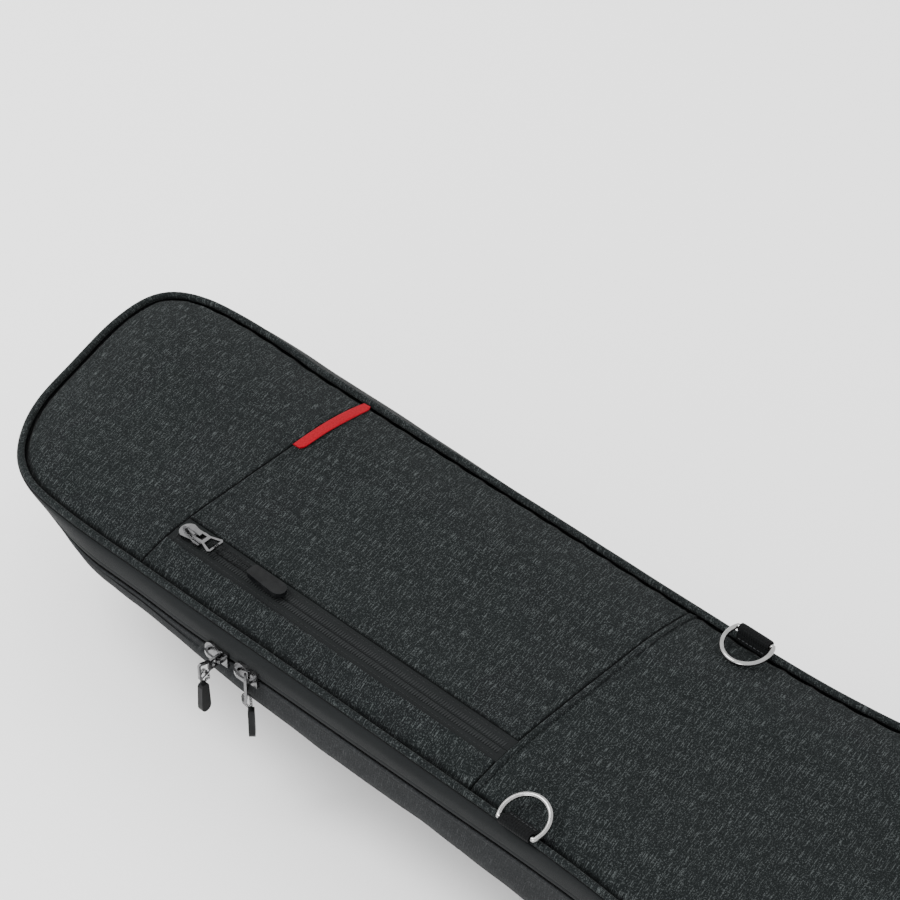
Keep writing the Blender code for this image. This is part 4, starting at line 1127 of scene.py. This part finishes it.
def make_handles():
    """The handle on the far side and the one on the back, from (station, rise) pairs."""
    wall = edge_lookup(SEAM.offset(WALL + 0.7 + 0 * SEAM.points[:, 0]))[1]
    rises = [(572, HANDLE_REST), (590, HANDLE_REST), (606, 13), (622, 24), (645, 29), (668, 25),
             (684, 14), (698, HANDLE_REST), (716, HANDLE_REST)]
    path = through([(s, float(wall(s)) + rise) for s, rise in rises], 8)
    line = [place(p.x, max(p.y, float(wall(p.x)) + HANDLE_REST), -45) for p in path]
    make_handle("side_handle", line, (0, 0, 1), 618, 672)

    def back(station):
        return -float(depth(station)) - GAP

    rises = [(96, BACK_REST), (118, BACK_REST), (138, 12), (158, 24), (190, 27), (222, 22),
             (242, 12), (262, BACK_REST), (284, BACK_REST)]
    path = through([(s, back(s) - rise) for s, rise in rises], 8)
    line = [place(p.x, 0, min(p.y, back(p.x) - BACK_REST)) for p in path]
    make_handle("grab_handle", line, (0, 1, 0), 156, 226)


def make_tail_guard():
    """A moulded guard round the tail, ribbed along its length."""
    rows = []
    count, ribs = 24, 5
    for k in range(count + 1):
        t = k / count
        rib = 0.45 * (0.5 - 0.5 * math.cos(2 * math.pi * ribs * t))
        edge = 1 - math.exp(-min(t, 1 - t) * 22)
        rows.append((6.75 + 1.35 * edge + rib, -30 - 40 * t))
    back = [(6.4, -69.8), (6.4, -50.0), (6.4, -30.2)]
    wall_ring("tail_bumper", constant(rows + back), "rubber", "tray", ["tail_guard"],
              keep=lambda s, y: s > 1030)


# Padded pieces that swell

def shrunk_copy(node, name, shrink, voxel):
    """A copy of a CAD solid, drawn in and remeshed evenly."""
    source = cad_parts[node]
    mesh = source.data.copy()
    piece = bpy.data.objects.new(name, mesh)
    bpy.context.scene.collection.objects.link(piece)
    low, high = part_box(node)
    centre = (low + high) / 2
    factors = [1 - 2 * s * MM / max(h - l, 1e-6) for s, h, l in zip(shrink, high, low)]
    for v in mesh.vertices:
        v.co = Vector(c + (p - c) * f for p, c, f in zip(v.co, centre, factors))
    change = piece.modifiers.new("remesh", "REMESH")
    change.mode = "VOXEL"
    change.voxel_size = voxel * MM
    apply_modifiers(piece)
    return piece


def apply_modifiers(piece):
    """Puts the evaluated mesh in place of the piece's own."""
    bpy.context.view_layer.update()
    evaluated = piece.evaluated_get(bpy.context.evaluated_depsgraph_get())
    mesh = bpy.data.meshes.new_from_object(evaluated)
    piece.modifiers.clear()
    old = piece.data
    piece.data = mesh
    bpy.data.meshes.remove(old)


def apply_cloth(piece, pressure, frames=20):
    """Swells a mesh by a short cloth simulation with no gravity."""
    cloth = piece.modifiers.new("cloth", "CLOTH")
    cloth.settings.use_pressure = True
    cloth.settings.uniform_pressure_force = pressure
    cloth.settings.effector_weights.gravity = 0
    cloth.settings.quality = 4
    cloth.point_cache.frame_start = 1
    cloth.point_cache.frame_end = frames
    for step in range(1, frames + 1):
        bpy.context.scene.frame_set(step)
    apply_modifiers(piece)
    bpy.context.scene.frame_set(1)


def puffed(node, name, shrink, voxel, cap, finish, floor=None):
    """A padded piece of the tray that swells, no point of it moving further than cap."""
    piece = shrunk_copy(node, name, shrink, voxel)
    rest = np.array([tuple(v.co) for v in piece.data.vertices])
    apply_cloth(piece, PRESSURE)
    moved = np.array([tuple(v.co) for v in piece.data.vertices])
    shift = moved - rest
    size = np.linalg.norm(shift, axis=1)[:, None]
    moved = rest + shift * np.minimum(1, cap * MM / np.maximum(size, 1e-9))
    if floor is not None:
        moved[:, 2] = np.maximum(moved[:, 2], floor)
    piece.data.vertices.foreach_set("co", moved.ravel())
    mesh = piece.data
    layer = mesh.uv_layers.new(name="UVMap")
    index = np.empty(len(mesh.loops), int)
    mesh.loops.foreach_get("vertex_index", index)
    flat = moved[:, :2] + moved[:, 2:3] * 0.7
    layer.data.foreach_set("uv", flat[index].ravel())
    smooth = piece.modifiers.new("smooth", "SUBSURF")
    smooth.levels = 1
    smooth.render_levels = 1
    apply_modifiers(piece)
    piece.data.shade_smooth()
    piece.data.materials.clear()
    piece.data.materials.append(MATERIALS[finish])
    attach(piece, "tray")
    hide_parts(node)


def make_padded_fittings():
    """The shoulder straps, which lie on the floor, and the two padded blocks inside."""
    for side in ("left", "right"):
        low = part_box(f"shoulder_strap_{side}")[0].z
        puffed(f"shoulder_strap_{side}", f"strap_pad_{side}", (2, 2, 1.4), 5, 2.2, "back",
               floor=low)
    puffed("neck_cradle", "cradle_pad", (2, 2, 1.5), 5, 3, "plush")
    puffed("tail_block", "tail_pad", (2, 2, 1.5), 6, 3, "plush")


def make_straps():
    """The webbing of the shoulder straps and the strap over the neck cradle."""
    for name, way in (("left", -1), ("right", 1)):
        centre = way * (62 + (952 - 640) * 0.12)
        path = [(968, 5.0), (984, 5.0), (998, 5.0), (1004, 6.2), (1010, 7.6), (1026, 7.8)]
        line = [Vector((p.x - ORIGIN_STATION, centre, p.y)) * MM for p in through(path, 4)]
        ribbon(f"strap_webbing_{name}_band", line, (0, 1, 0), 24, 1.4, "webbing", "tray",
               [f"strap_webbing_{name}"])
    low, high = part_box("neck_strap")
    middle = (low.x + high.x) / 2
    rise = [(-66, 0.8), (-40, 0.8), (0, 2.2), (40, 0.8), (66, 0.8)]
    line = [Vector((middle, p.x * MM, low.z + p.y * MM)) for p in through(rise, 8)]
    ribbon("neck_strap_webbing", line, (1, 0, 0), 38, 1.6, "webbing", "tray", ["neck_strap"])


# The setting

def make_setting():
    """The floor, the white surroundings and two soft lights."""
    mesh = bpy.data.meshes.new("floor")
    corners = [(-1, -1), (1, -1), (1, 1), (-1, 1)]
    mesh.from_pydata([(a * FLOOR_REACH, b * FLOOR_REACH, 0) for a, b in corners], [],
                     [(0, 1, 2, 3)])
    floor = bpy.data.objects.new("floor", mesh)
    floor.location.z = -FLOOR_DROP
    bpy.context.scene.collection.objects.link(floor)
    paint = bpy.data.materials.new("floor_paint")
    paint.use_nodes = True
    shader = paint.node_tree.nodes["Principled BSDF"]
    shader.inputs["Base Color"].default_value = (FLOOR_TONE, FLOOR_TONE, FLOOR_TONE, 1)
    shader.inputs["Roughness"].default_value = 0.9
    mesh.materials.append(paint)
    world = bpy.data.worlds.new("studio")
    bpy.context.scene.world = world
    world.use_nodes = True
    sky = world.node_tree.nodes["Background"]
    sky.inputs["Color"].default_value = (1, 1, 1, 1)
    sky.inputs["Strength"].default_value = WORLD_STRENGTH
    for name, spot, aim, size, power in LIGHTS:
        data = bpy.data.lights.new(name, "AREA")
        data.shape = "DISK"
        data.size = size
        data.energy = power
        light = bpy.data.objects.new(name, data)
        light.location = spot
        light.rotation_euler = (Vector(spot) - Vector(aim)).to_track_quat("Z", "Y").to_euler()
        bpy.context.scene.collection.objects.link(light)


def main():
    make_camera()
    make_materials()
    make_front_panels()
    make_pocket_zips()
    make_piping()
    make_band()
    make_main_zip()
    make_gusset()
    make_hinge_fabric()
    make_linings()
    make_label()
    make_ring("d_ring_near", 452.9, -100.9, 5.4, 18.7, 1, (-93.6, 2.9))
    make_ring("d_ring_far", 457.5, 96.3, 9.5, -6.5, -1, (93.2, 2.0))
    make_pulls()
    make_handles()
    make_tail_guard()
    make_padded_fittings()
    make_straps()
    make_setting()


main()
